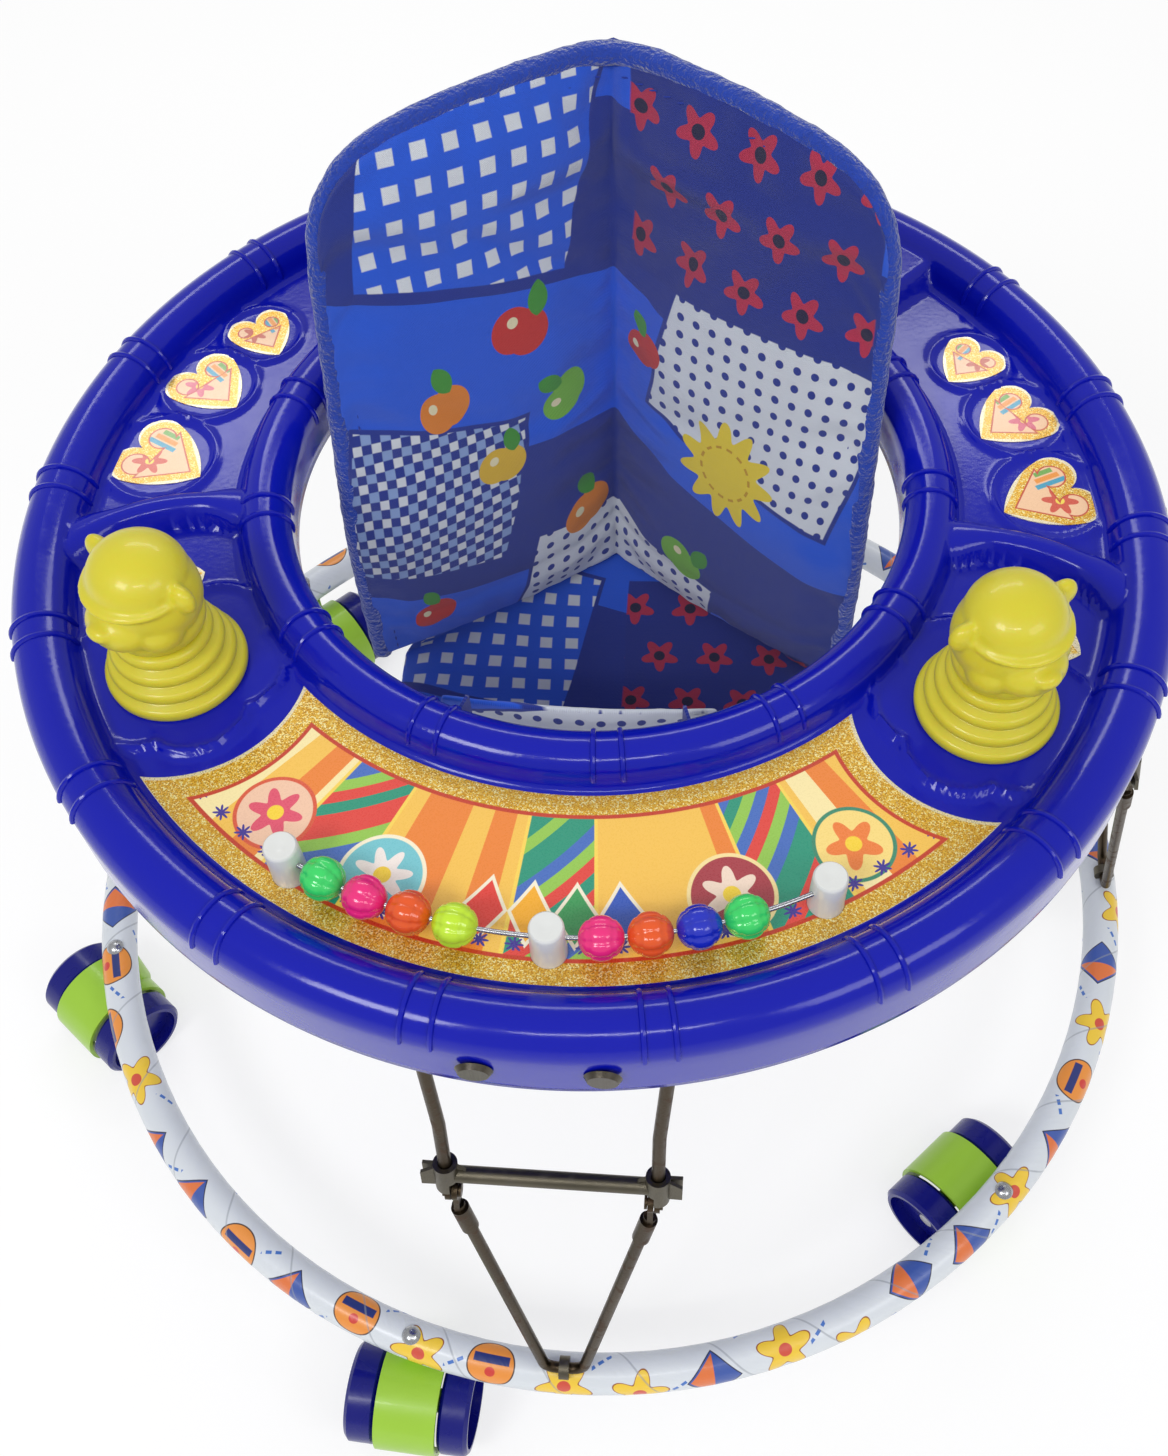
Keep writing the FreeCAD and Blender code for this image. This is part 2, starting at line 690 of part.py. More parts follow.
def build_lock_bar(index, place):
    """The rod and its two folded collars, which ride on the parallel runs of the upper wire."""
    knee, height = upper_knee_x(), size("lock_collar_height")
    low = size("leg_lower") + size("knee_tab_radius") + size("soft_clearance")
    bore = size("wire_radius") + size("lock_collar_gap")
    outer = bore + size("lock_collar_wall")
    rod_z = low + height / 2
    reach, fin = size("lock_fin_length"), size("lock_fin_thickness")
    gusset = size("lock_gusset")
    solid = disc_across(0, rod_z, size("lock_rod_radius"), 2 * (knee - bore))
    voids = []
    for side in (-1, 1):
        sleeve = Part.makeCylinder(outer, height, Vector(side * knee, 0, low))
        fin_start = side * (knee + bore)
        fin_end = side * (knee + outer + reach)
        for front in (-1, 1):
            spread = front * (bore - fin)
            rises = [low + height * FIN_FOOT_SHARE, low + height * (1 - FIN_FOOT_SHARE)]
            base = [Vector(fin_start, spread, low + fin),
                    *(Vector(fin_end, spread * 2, rise) for rise in rises),
                    Vector(fin_start, spread, low + height - fin)]
            blade = Part.Face(Part.makePolygon(base + base[:1])).extrude(Vector(0, -front * fin, 0))
            sleeve = sleeve.fuse(blade)
        inner = side * (knee - bore)
        web = [Vector(inner, -fin / 2, low + height), Vector(inner, -fin / 2, rod_z),
               Vector(inner - side * gusset, -fin / 2, rod_z)]
        plate = Part.Face(Part.makePolygon(web + web[:1])).extrude(Vector(0, fin, 0))
        solid = solid.fuse(sleeve).fuse(plate)
        voids.append(Part.makeCylinder(bore, height * 2, Vector(side * knee, 0, low - height / 2)))
        inside = size("knee_half")
        voids.append(Part.makeBox(inside, 4 * outer, size("lock_notch"),
                                  Vector(0 if side > 0 else -inside, -2 * outer, low)))
    solid = solid.cut(Part.makeCompound(voids))
    node(feature(f"lock_bar_{index}", solid.removeSplitter()), f"lock_bar_{index}", place)


def build_legs():
    """Four legs, the front one first."""
    for index, angle in enumerate(leg_angles(), start=1):
        place = leg_place(angle)
        build_lower_wire(index, place)
        build_upper_wire(index, place)
        build_lock_bar(index, place)


# Tray
def floor_top():
    """Height of the tray's sunken floor above the ground."""
    return size("tray_base_height") + size("tray_floor_height")


def rim_band(inner_radius, outer_radius, low_inner, low_outer):
    """A hollow moulded rim, revolved: a vertical wall, a half-round top and a foot."""
    base, wall = size("tray_base_height"), size("tray_wall")
    radius = (outer_radius - inner_radius) / 2
    middle = (outer_radius + inner_radius) / 2
    crown = base + size("tray_height") - radius
    inner_low = base + low_inner
    outer_low = base + low_outer
    small = radius - wall
    lines = [
        Part.LineSegment(Vector(inner_radius, 0, inner_low), Vector(inner_radius, 0, crown)),
        Part.Arc(Vector(inner_radius, 0, crown), Vector(middle, 0, crown + radius),
                 Vector(outer_radius, 0, crown)),
        Part.LineSegment(Vector(outer_radius, 0, crown), Vector(outer_radius, 0, outer_low)),
        Part.LineSegment(Vector(outer_radius, 0, outer_low),
                         Vector(outer_radius - wall, 0, outer_low)),
        Part.LineSegment(Vector(outer_radius - wall, 0, outer_low),
                         Vector(outer_radius - wall, 0, crown)),
        Part.Arc(Vector(outer_radius - wall, 0, crown), Vector(middle, 0, crown + small),
                 Vector(inner_radius + wall, 0, crown)),
        Part.LineSegment(Vector(inner_radius + wall, 0, crown),
                         Vector(inner_radius + wall, 0, inner_low)),
        Part.LineSegment(Vector(inner_radius + wall, 0, inner_low),
                         Vector(inner_radius, 0, inner_low)),
    ]
    face = Part.Face(Part.Wire([line.toShape() for line in lines]))
    return face.revolve(ORIGIN, Z_AXIS, FULL_TURN)


def wedge(half_angle, radius, low, height, to_rear):
    """A sector of a disc, symmetric about the front or the rear."""
    start = -QUARTER_TURN - half_angle if not to_rear else QUARTER_TURN - half_angle
    disc = Part.makeCylinder(radius, height, Vector(0, 0, low), Z_AXIS, 2 * half_angle)
    disc.rotate(ORIGIN, Z_AXIS, start)
    return disc


def toy_centre(side, height):
    """Where a squeeze toy stands: side is -1 for the left and 1 for the right."""
    turn = math.radians(size("toy_angle"))
    ring = from_edge("toy_inset")
    return Vector(side * ring * math.sin(turn), -ring * math.cos(turn), height)


def build_tray():
    """The moulded tray: two rims, the sunken floor, the rear plateau and the dividers."""
    wall, radius = size("tray_wall"), size("tray_radius")
    rim, base = size("rim_radius") * 2, size("tray_base_height")
    hole, offset = size("hole_radius"), Vector(0, size("hole_offset"), 0)
    floor = size("tray_floor_height")
    outer_rim = rim_band(radius - rim, radius, floor - wall, 0.0)
    collar = hole + size("hole_rim_radius") * 2
    inner_rim = rim_band(hole, collar, size("hole_wall_lift"), floor - wall)
    inner_rim.translate(offset)
    plate = Part.makeCylinder(radius - rim + wall, wall, Vector(0, 0, base + floor - wall))
    opening = Part.makeCylinder(collar - wall, wall * CUT_REACH,
                                offset + Vector(0, 0, base + floor - wall * 2))
    plate = plate.cut(opening)
    rear_half = HALF_TURN - size("plateau_angle")
    top = base + size("plateau_height")
    raised = wedge(rear_half, radius - rim + wall, base + floor - wall, top - base - floor + wall,
                   True)
    raised = raised.cut(Part.makeCylinder(collar - wall, size("tray_height"),
                                          offset + Vector(0, 0, base + floor - wall * 2)))
    shrunk = wedge(rear_half - math.degrees(wall / radius), radius - rim + wall * 2,
                   base + floor - wall * 2, top - base - floor + wall, True)
    raised = raised.cut(shrunk)
    solid = outer_rim.fuse([inner_rim, plate.cut(shrunk), raised])
    band = size("divider_width")
    for side in (-1, 1):
        centre = toy_centre(side, floor_top() - wall / 2)
        tall = size("divider_height") + wall / 2
        bar = Part.makeCylinder(size("divider_reach") + band / 2, tall, centre)
        bar = bar.cut(Part.makeCylinder(size("divider_reach") - band / 2, tall, centre))
        lane = Part.makeCylinder(radius - rim + wall / 2, tall * 2,
                                 Vector(0, 0, centre.z - tall / 2))
        lane = lane.cut(Part.makeCylinder(collar - wall / 2, tall * 2,
                                          offset + Vector(0, 0, centre.z - tall / 2)))
        reach = size("divider_reach") + band
        rear_side = Part.makeBox(reach, reach, tall * 2,
                                 Vector(centre.x - (reach if side < 0 else 0), centre.y,
                                        centre.z - tall / 2))
        inner_side = Part.makeBox(reach, reach, tall * 2,
                                  Vector(centre.x - (0 if side < 0 else reach), centre.y,
                                         centre.z - tall / 2))
        solid = solid.fuse(bar.common(lane).common(rear_side.fuse(inner_side)))
    holes = []
    for angle in leg_angles():
        for side in (-1, 1):
            drill = Part.makeCylinder(size("rivet_radius") + size("seat_fit"), wall * CUT_REACH,
                                      Vector(side * size("rivet_offset"), -radius - wall * 2,
                                             base + size("rivet_lift")), Y_AXIS)
            drill.rotate(ORIGIN, Z_AXIS, angle)
            holes.append(drill)
    holes += [stud_drill(angle) for angle, _ in strap_places()]
    solid = solid.cut(Part.makeCompound(holes))
    node(feature("tray", solid.removeSplitter()), "tray_shell")


# Hinge brackets and their rivets
def bracket_face():
    """Distance of a bracket's outer face from the centre of the tray."""
    inside = size("tray_radius") - size("tray_wall")
    return math.sqrt(inside ** 2 - size("bracket_half") ** 2) - size("tape_gap")


def bracket_shape(play):
    """A riveted strap with two ears; play lengthens the ear slots along the radius."""
    face, thickness = bracket_face(), size("bracket_thickness")
    pivot_z = size("tray_base_height") + size("tray_pivot_lift")
    low = pivot_z - size("bracket_drop")
    strap = Part.makeBox(2 * size("bracket_half"), thickness, size("bracket_height"),
                         Vector(-size("bracket_half"), -face, low))
    bore = size("wire_radius") + size("running_fit")
    outer = bore + size("ear_wall")
    pivot = -from_edge("tray_pivot_inset")
    voids = []
    solid = strap
    for side in (-1, 1):
        start = side * size("ear_offset") - size("ear_width") / 2
        ear = Part.makeCylinder(outer, size("ear_width"), Vector(start, pivot + play, pivot_z),
                                X_AXIS)
        link = Part.makeBox(size("ear_width"), face + pivot + play, 2 * outer,
                            Vector(start, -face, pivot_z - outer))
        solid = solid.fuse(ear).fuse(link)
        long = size("ear_width") + 2 * size("overrun")
        start -= size("overrun")
        voids.append(Part.makeCylinder(bore, long, Vector(start, pivot + play, pivot_z), X_AXIS))
        if play:
            voids.append(Part.makeCylinder(bore, long, Vector(start, pivot - play, pivot_z),
                                           X_AXIS))
            voids.append(Part.makeBox(long, 2 * play, 2 * bore,
                                      Vector(start, pivot - play, pivot_z - bore)))
        hole = Part.makeCylinder(size("rivet_radius") + size("seat_fit"), thickness * CUT_REACH,
                                 Vector(side * size("rivet_offset"), -face - thickness,
                                        size("tray_base_height") + size("rivet_lift")), Y_AXIS)
        voids.append(hole)
    return solid.cut(Part.makeCompound(voids))


def build_brackets():
    """One bracket for each leg; the front one fits its bar, the others have slotted ears."""
    brackets = []
    for index, angle in enumerate(leg_angles(), start=1):
        play = 0.0 if index == 1 else size("ear_play")
        item = feature(f"bracket_{index}", bracket_shape(play))
        item.Placement = Placement(ORIGIN, Rotation(Z_AXIS, angle))
        brackets.append(item)
    node(group("brackets", *brackets), "hinge_brackets")


def build_rivets():
    """Flat-headed rivets that hold the brackets to the skirt."""
    rivets = []
    tail = bracket_face() - size("bracket_thickness") - size("rivet_tail")
    outside = size("tray_radius") + size("rivet_head_thickness")
    height = size("tray_base_height") + size("rivet_lift")
    for index, angle in enumerate(leg_angles(), start=1):
        for side in (-1, 1):
            shank = Part.makeCylinder(size("rivet_radius"), outside - tail,
                                      Vector(0, -outside, 0), Y_AXIS)
            head = Part.makeCone(size("rivet_head_radius") * RIVET_TAPER_SHARE, size("rivet_head_radius"),
                                 size("rivet_head_thickness"), Vector(0, -outside, 0), Y_AXIS)
            rivet = feature(f"rivet_{index}_{side + 2}", head.fuse(shank))
            rivet.Placement = Placement(ORIGIN, Rotation(Z_AXIS, angle)).multiply(
                Placement(Vector(side * size("rivet_offset"), 0, height), Rotation()))
            rivets.append(rivet)
    node(group("rivets", *rivets), "bracket_rivets")


# Labels, posts, wires and beads
def build_front_label():
    """The printed label between the toys, cut away round each toy."""
    low, thick = floor_top() + size("tape_gap"), size("label_thickness")
    outer = Part.makeCylinder(from_edge("front_label_inset"), thick, Vector(0, 0, low))
    inner = Part.makeCylinder(size("hole_radius") + size("hole_rim_radius") * 2
                              + size("front_label_gap"),
                              thick, Vector(0, size("hole_offset"), low))
    sheet_shape = outer.cut(inner).common(wedge(size("toy_angle"), size("tray_radius"), low, thick,
                                                False))
    for side in (-1, 1):
        sheet_shape = sheet_shape.cut(Part.makeCylinder(size("front_label_clear"), thick,
                                                        toy_centre(side, low)))
    for post in post_angles():
        place = round_walker(post, from_edge("bead_row_inset"))
        hole = Part.makeCylinder(size("post_radius") + size("seat_fit"), thick,
                                 place.Base + Vector(0, 0, low))
        sheet_shape = sheet_shape.cut(hole)
    main = max(sheet_shape.Solids, key=lambda solid: solid.Volume)
    node(feature("front_label", main), "front_label")


def heart_outline(width):
    """A heart lying flat, its point towards +Y, as four arcs."""
    lobe = width / 4
    top, tip = Vector(0, -lobe * HEART_NOTCH_SHARE, 0), Vector(0, lobe * HEART_TIP_SHARE, 0)
    edges = []
    for side in (-1, 1):
        far, crown, flank = (Vector(side * lobe * across, lobe * along, 0)
                             for across, along in HEART_SIDE_SHARES)
        arcs = [Part.Arc(top, crown, far), Part.Arc(far, flank, tip)]
        edges.append(Part.Wire([arc.toShape() for arc in arcs]))
    return Part.Wire(edges[0].Edges + edges[1].Edges)


def build_hearts():
    """Six heart labels, three on each side, largest at the front."""
    hearts = []
    rows = (("heart_angle_one", "heart_large"), ("heart_angle_two", "heart_middle"),
            ("heart_angle_three", "heart_small"))
    for side in (-1, 1):
        for angle, width in rows:
            flat = Part.Face(heart_outline(size(width))).extrude(Vector(0, 0, size("label_thickness")))
            heart = feature(f"heart_{width}_{side + 2}", flat)
            place = round_walker(side * size(angle), from_edge("heart_inset"),
                                 floor_top() + size("tape_gap"))
            heart.Placement = place.multiply(Placement(ORIGIN, Rotation(Z_AXIS, side * size("heart_turn"))))
            hearts.append(heart)
    node(group("hearts", *hearts), "heart_labels")


def build_toy_labels():
    """A petal-shaped label standing behind each toy's foot, flat on the floor."""
    labels = []
    for side in (-1, 1):
        half = size("toy_label_width") / 2
        length = size("toy_label_length") / 2
        low = floor_top() + size("tape_gap")
        centre = toy_centre(side, low)
        out = Vector(centre.x, centre.y, 0).normalize()
        along = Vector(-out.y, out.x, 0) * side
        middle = centre + along * (size("toy_base_radius") + half)
        points = [middle + out * length, middle + along * half, middle - out * length,
                  middle - along * half]
        bulge = half * LABEL_BULGE_SHARE
        bulges = [(out + along) * bulge, (along - out) * bulge, (out + along) * -bulge,
                  (out - along) * bulge]
        flat = Part.Face(section(points, bulges)).extrude(Vector(0, 0, size("label_thickness")))
        clear = Part.makeCylinder(size("toy_base_radius") + size("seat_fit"),
                                  size("tray_height"), Vector(centre.x, centre.y, low - half))
        labels.append(feature(f"toy_label_{side + 2}", flat.cut(clear)))
    node(group("toy_labels_group", *labels), "toy_labels")


def post_angles():
    """Angles of the three bead posts."""
    return [-size("post_angle"), 0.0, size("post_angle")]


def wire_arc(radius, tube, height, start, sweep):
    """Part of a level ring about the tray's centre, from one angle to the next."""
    arc = Part.makeTorus(radius, tube, ORIGIN, Z_AXIS, 0, FULL_TURN, sweep)
    arc.rotate(ORIGIN, Z_AXIS, start - QUARTER_TURN)
    arc.translate(Vector(0, 0, height))
    return arc


def build_bead_rail():
    """Three posts and the two bent wires between them."""
    height = floor_top() + size("bead_wire_lift")
    ring, tube = from_edge("bead_row_inset"), size("bead_wire_radius")
    reach = size("post_angle") * CHANNEL_SHARE
    channel = wire_arc(ring, tube + size("running_fit"), height, -reach, 2 * reach)
    posts = []
    low = floor_top() + size("tape_gap")
    for index, angle in enumerate(post_angles(), start=1):
        spot = round_walker(angle, ring, low).Base
        post = Part.makeCone(size("post_radius"), size("post_radius") * POST_TAPER_SHARE,
                             size("post_height"), spot)
        posts.append(feature(f"post_{index}", post.cut(channel)))
    node(group("posts", *posts), "bead_posts")
    wires = []
    inset = math.degrees(size("post_radius") * WIRE_INSET_SHARE / ring)
    for index, start in enumerate((-size("post_angle"), 0.0), start=1):
        wires.append(feature(f"wire_{index}", wire_arc(ring, tube, height, start + inset,
                                                       size("post_angle") - 2 * inset)))
    node(group("wires", *wires), "bead_wires")


def build_beads():
    """Eight round beads threaded on the wires, four on each."""
    height = floor_top() + size("bead_wire_lift")
    ring = from_edge("bead_row_inset")
    firsts = {"left": size("bead_first_left"), "right": size("bead_first_right")}
    for name, first in firsts.items():
        for index in range(4):
            angle = first + index * size("bead_pitch_angle")
            ball = Part.makeSphere(size("bead_radius"))
            ball.rotate(ORIGIN, Z_AXIS, QUARTER_TURN)
            thread = Part.makeTorus(ring, size("bead_wire_radius") + size("running_fit"),
                                    Vector(0, ring, 0))
            bead = feature(f"bead_{name}_{index + 1}", ball.cut(thread))
            node(bead, f"bead_{name}_{index + 1}", round_walker(angle, ring, height))


# Squeeze toys
def build_bellows(index, side):
    """The ribbed, hollow foot of a toy, standing in the tray."""
    outer, neck = size("toy_base_radius"), size("toy_neck_radius")
    ribs, depth = int(size("toy_rib_count")), size("toy_rib_depth")
    height, wall = size("toy_bellows_height"), size("toy_wall")
    step = height / ribs
    outline = [Vector(0, 0, 0)]
    for rib in range(ribs):
        reach = outer - (outer - neck) * rib / ribs
        low = rib * step
        outline.append(Vector(reach - depth, 0, low))
        outline += [Vector(reach, 0, low + step * share) for share in RIB_SHARES]
    outline += [Vector(neck - depth, 0, height), Vector(0, 0, height)]
    solid = Part.Face(Part.makePolygon(outline + outline[:1])).revolve(ORIGIN, Z_AXIS, FULL_TURN)
    core = Part.makeCone(outer - depth - wall, neck - depth - wall, height - 2 * wall,
                         Vector(0, 0, wall))
    place = Placement(toy_centre(side, floor_top() + size("tape_gap")), Rotation())
    node(feature(f"bellows_{index}", solid.cut(core)), f"toy_bellows_{index}", place)


def ball_at(radius, x, y, z, stretch):
    """A ball, or an egg stretched along the axes."""
    egg = Part.makeSphere(radius)
    matrix = FreeCAD.Matrix()
    matrix.scale(*stretch)
    egg = egg.transformGeometry(matrix)
    egg.translate(Vector(x, y, z))
    return egg


def build_toy_head(index, side):
    """A plain animal head with ears, muzzle and a round cap, facing the front."""
    radius, tall = size("toy_head_radius"), size("toy_head_height")
    neck, depth = size("toy_neck_radius"), size("toy_rib_depth")
    middle = tall * HEAD_MIDDLE_SHARE
    solid = Part.makeCone(neck, neck + depth, tall * HEAD_COLLAR_SHARE)
    solid = solid.fuse([ball_at(radius * share, 0, -radius * ahead, middle + radius * lift, stretch)
                        for share, ahead, lift, stretch in HEAD_SHARES])
    share, aside, lift, stretch = EAR_SHARES
    for ear in (-1, 1):
        solid = solid.fuse(ball_at(radius * share, ear * radius * aside, 0,
                                   middle + radius * lift, stretch))
    keep = Part.makeCylinder(radius * 2, tall, ORIGIN)
    base = floor_top() + size("tape_gap") + size("toy_bellows_height") + size("tape_gap")
    place = Placement(toy_centre(side, base), Rotation(Z_AXIS, side * size("toy_angle") / 2))
    node(feature(f"toy_head_{index}", solid.common(keep)), f"toy_head_{index}", place)


def build_toys():
    """The left and the right squeeze toy."""
    for index, side in enumerate((-1, 1), start=1):
        build_bellows(index, side)
        build_toy_head(index, side)


# Seat: back pad, board, back cloth, binding, pouch, straps
def back_levels():
    """Height, crease depth, wing-edge depth and crown of the back panel at each level."""
    foot, top = from_tray("seat_drop"), from_tray("seat_rise", 1)
    waist = from_tray("waist_drop")
    crease_low, crease_high = size("crease_foot"), size("crease_top")
    wing_low, wing_high = size("wing_foot"), size("wing_top")
    levels = []
    for height, crown_share in zip((foot, waist, (waist + top) / 2, top), PAD_CROWN_SHARES):
        rise = (height - foot) / (top - foot)
        above = max(0.0, (height - waist) / (top - waist))
        levels.append((height, crease_low + (crease_high - crease_low) * rise,
                       wing_low + (wing_high - wing_low) * above, size("pad_crown") * crown_share))
    return levels


def back_layer(front, rear, edge_front, edge_rear, crowned):
    """One layer of the folded back panel, between two distances behind its front face."""
    half = size("seat_half") + size("binding_radius")
    outlines = []
    for height, crease, wing, crown in back_levels():
        slope = Vector(half, wing - crease, 0).normalize()
        behind = Vector(-slope.y, slope.x, 0)
        points = [Vector(-half, wing, 0) + Vector(-behind.x, behind.y, 0) * edge_front,
                  Vector(0, crease + front, 0), Vector(half, wing, 0) + behind * edge_front,
                  Vector(half, wing, 0) + behind * edge_rear, Vector(0, crease + rear, 0),
                  Vector(-half, wing, 0) + Vector(-behind.x, behind.y, 0) * edge_rear]
        points = [Vector(point.x, point.y, height) for point in points]
        still = Vector(0, 0, 0)
        puff = behind * -crown if crowned else still
        bulges = [Vector(-puff.x, puff.y, 0), puff, still, still, still, still]
        outlines.append(section(points, bulges))
    return Part.makeLoft(outlines, True, False)


def back_outline():
    """Half outline of the back panel seen from the front: across and up, foot to top."""
    half, foot, top = size("seat_half"), from_tray("seat_drop"), from_tray("seat_rise", 1)
    return [(half, foot), (half, foot + (top - foot) * SHOULDER_SHARES[0]),
            (half * SHOULDER_SHARES[1], foot + (top - foot) * SHOULDER_SHARES[2]),
            (half * SHOULDER_SHARES[3], foot + (top - foot) * SHOULDER_SHARES[4]), (0.0, top)]


def back_shield():
    """A prism of the back panel's outline, run through from front to rear."""
    right = [Vector(across, 0, up) for across, up in back_outline()]
    left = [Vector(-point.x, 0, point.z) for point in reversed(right[:-1])]
    points = right + left
    edges = [Part.LineSegment(begin, end).toShape() for begin, end in zip(points, points[1:])]
    edges.append(Part.LineSegment(points[-1], points[0]).toShape())
    face = Part.Face(Part.Wire(edges))
    prism = face.extrude(Vector(0, size("tray_radius"), 0))
    corners = [edge for edge in prism.Edges if abs(edge.tangentAt(edge.FirstParameter).y) > DEPTHWISE
               and edge.CenterOfMass.z > from_tray("waist_drop")]
    return prism.makeFillet(size("shoulder_radius"), corners)


def panel_depth(across, up, behind):
    """Depth of the panel's surface at a point of its outline, moved back by a thickness."""
    levels = back_levels()
    half = size("seat_half") + size("binding_radius")
    for below, above in zip(levels, levels[1:]):
        if up <= above[0] or above is levels[-1]:
            share = (up - below[0]) / (above[0] - below[0])
            crease = below[1] + (above[1] - below[1]) * share
            wing = below[2] + (above[2] - below[2]) * share
            return crease + (wing - crease) * abs(across) / half + behind
    return levels[-1][1]


def panel_thickness():
    """Thickness of the whole panel along the depth axis."""
    return size("pad_edge") + size("board_thickness") + size("back_cloth") + 2 * size("layer_gap")


def build_binding():
    """The round edging up one side of the back, over its top and down the other."""
    middle = panel_thickness() / 2
    right = [Vector(across, panel_depth(across, up, middle), up) for across, up in back_outline()]
    left = [Vector(-point.x, point.y, point.z) for point in reversed(right[:-1])]
    route = right + left
    radii = []
    for before, corner, after in zip(route, route[1:], route[2:]):
        turn = math.pi - (before - corner).getAngle(after - corner)
        shorter = min((before - corner).Length, (after - corner).Length)
        radii.append(RUN_SHARE * shorter / math.tan(turn / 2))
    path = rounded_path(route, radii)
    radius = size("binding_radius")
    edging = tube_along(path, radius)
    print("binding radii", [round(value, 1) for value in radii], "volume", round(edging.Volume),
          "from its section", round(path.Length * math.pi * radius ** 2))
    return edging, tube_along(path, radius + size("layer_gap"))


def build_seat_back():
    """The padded back with its centre crease, the board, the back cloth and the bound edge."""
    edging, channel = build_binding()
    inside = back_shield().cut(channel)
    pad_edge, board, cloth = size("pad_edge"), size("board_thickness"), size("back_cloth")
    gap, crease = size("layer_gap"), size("pad_crease")
    layers = (("seat_back_pad", 0.0, crease, 0.0, pad_edge, True),
              ("seat_board", crease + gap, crease + gap + board, pad_edge + gap,
               pad_edge + gap + board, False),
              ("seat_back_cloth", crease + board + 2 * gap, crease + board + 2 * gap + cloth,
               pad_edge + board + 2 * gap, pad_edge + board + 2 * gap + cloth, False))
    for label, front, rear, edge_front, edge_rear, crowned in layers:
        layer = back_layer(front, rear, edge_front, edge_rear, crowned)
        trimmed = layer.common(inside)
        main = max(trimmed.Solids, key=lambda solid: solid.Volume)
        node(feature(label + "_form", main), label)
    node(feature("seat_binding_form", edging), "seat_binding")


def build_pouch():
    """The padded base with the front panel that runs up between the legs."""
    foot, rear = from_tray("seat_drop"), size("crease_foot")
    wide, narrow = size("pouch_half"), size("pouch_front_half")
    front, thick = size("pouch_front_depth"), size("pouch_thickness")
    top, sag = from_tray("pouch_front_rise", 1), size("pouch_sag")
    bulge = sag * POUCH_BULGE_SHARE
    low = foot - thick - bulge - size("layer_gap") * 2
    outlines = []
    for back, ahead, sags, rise, wides, narrows, tilt in POUCH_SECTIONS:
        depth, half = rear * back - front * ahead, wide * wides + narrow * narrows
        height = low + sag * sags + (top - low) * rise
        turn = math.radians(tilt)
        normal = Vector(0, math.sin(turn), math.cos(turn))
        middle = Vector(0, depth, height)
        under, over = middle - normal * (thick / 2), middle + normal * (thick / 2)
        points = [under + X_AXIS * -half, under + X_AXIS * half, over + X_AXIS * half,
                  over + X_AXIS * -half]
        still = Vector(0, 0, 0)
        bulges = [normal * -bulge, still, normal * bulge, still]
        outlines.append(section(points, bulges))
    pouch = Part.makeLoft(outlines, True, False)
    half, far = size("seat_half") + size("binding_radius"), size("tray_radius")
    depth = panel_thickness() + size("pad_crease")
    behind = [Vector(-half, size("wing_foot") + depth, 0), Vector(0, rear + depth, 0),
              Vector(half, size("wing_foot") + depth, 0), Vector(half, far, 0),
              Vector(-half, far, 0)]
    beyond = Part.Face(Part.makePolygon(behind + behind[:1])).extrude(Vector(0, 0, top))
    node(feature("pouch_form", pouch.cut(beyond)), "seat_pouch")


def strap_places():
    """Where each strap meets the wall of the hole: an angle from +X, and whether it is at the rear."""
    rear = [QUARTER_TURN + side * angle for side in (-1, 1)
            for angle in (size("strap_rear_inner"), size("strap_rear_outer"))]
    front = [-QUARTER_TURN + side * size("strap_front") for side in (-1, 1)]
    return [(angle, True) for angle in rear] + [(angle, False) for angle in front]


def strap_low():
    """Height of the straps' lower edge."""
    return size("tray_base_height") + size("hole_wall_lift") + size("strap_lift")


def wall_place(angle):
    """A place on the hole's axis at the straps' mid height, turned so +X meets the wall."""
    return Placement(Vector(0, size("hole_offset"), strap_low() + size("strap_width") / 2),
                     Rotation(Z_AXIS, angle))


def stud_drill(angle):
    """The drilling for one stud through the strap and the wall of the hole."""
    start, reach = size("hole_radius") - size("stud_length"), size("stud_length") * 2
    drill = Part.makeCylinder(size("stud_radius") + size("seat_fit"), reach,
                              Vector(start, 0, 0), X_AXIS)
    drill.Placement = wall_place(angle).multiply(drill.Placement)
    return drill


def stud_shape(angle):
    """A flat-headed stud through a strap's end and the wall."""
    seat = size("hole_radius") - size("strap_gap") * 2 - size("strap_thickness")
    start = Vector(seat - size("stud_head"), 0, 0)
    stud = Part.makeCylinder(size("stud_radius"), size("stud_length"), start, X_AXIS)
    head = Part.makeCylinder(size("stud_head_radius"), size("stud_head"), start, X_AXIS)
    shape = stud.fuse(head)
    shape.Placement = wall_place(angle).multiply(shape.Placement)
    return shape


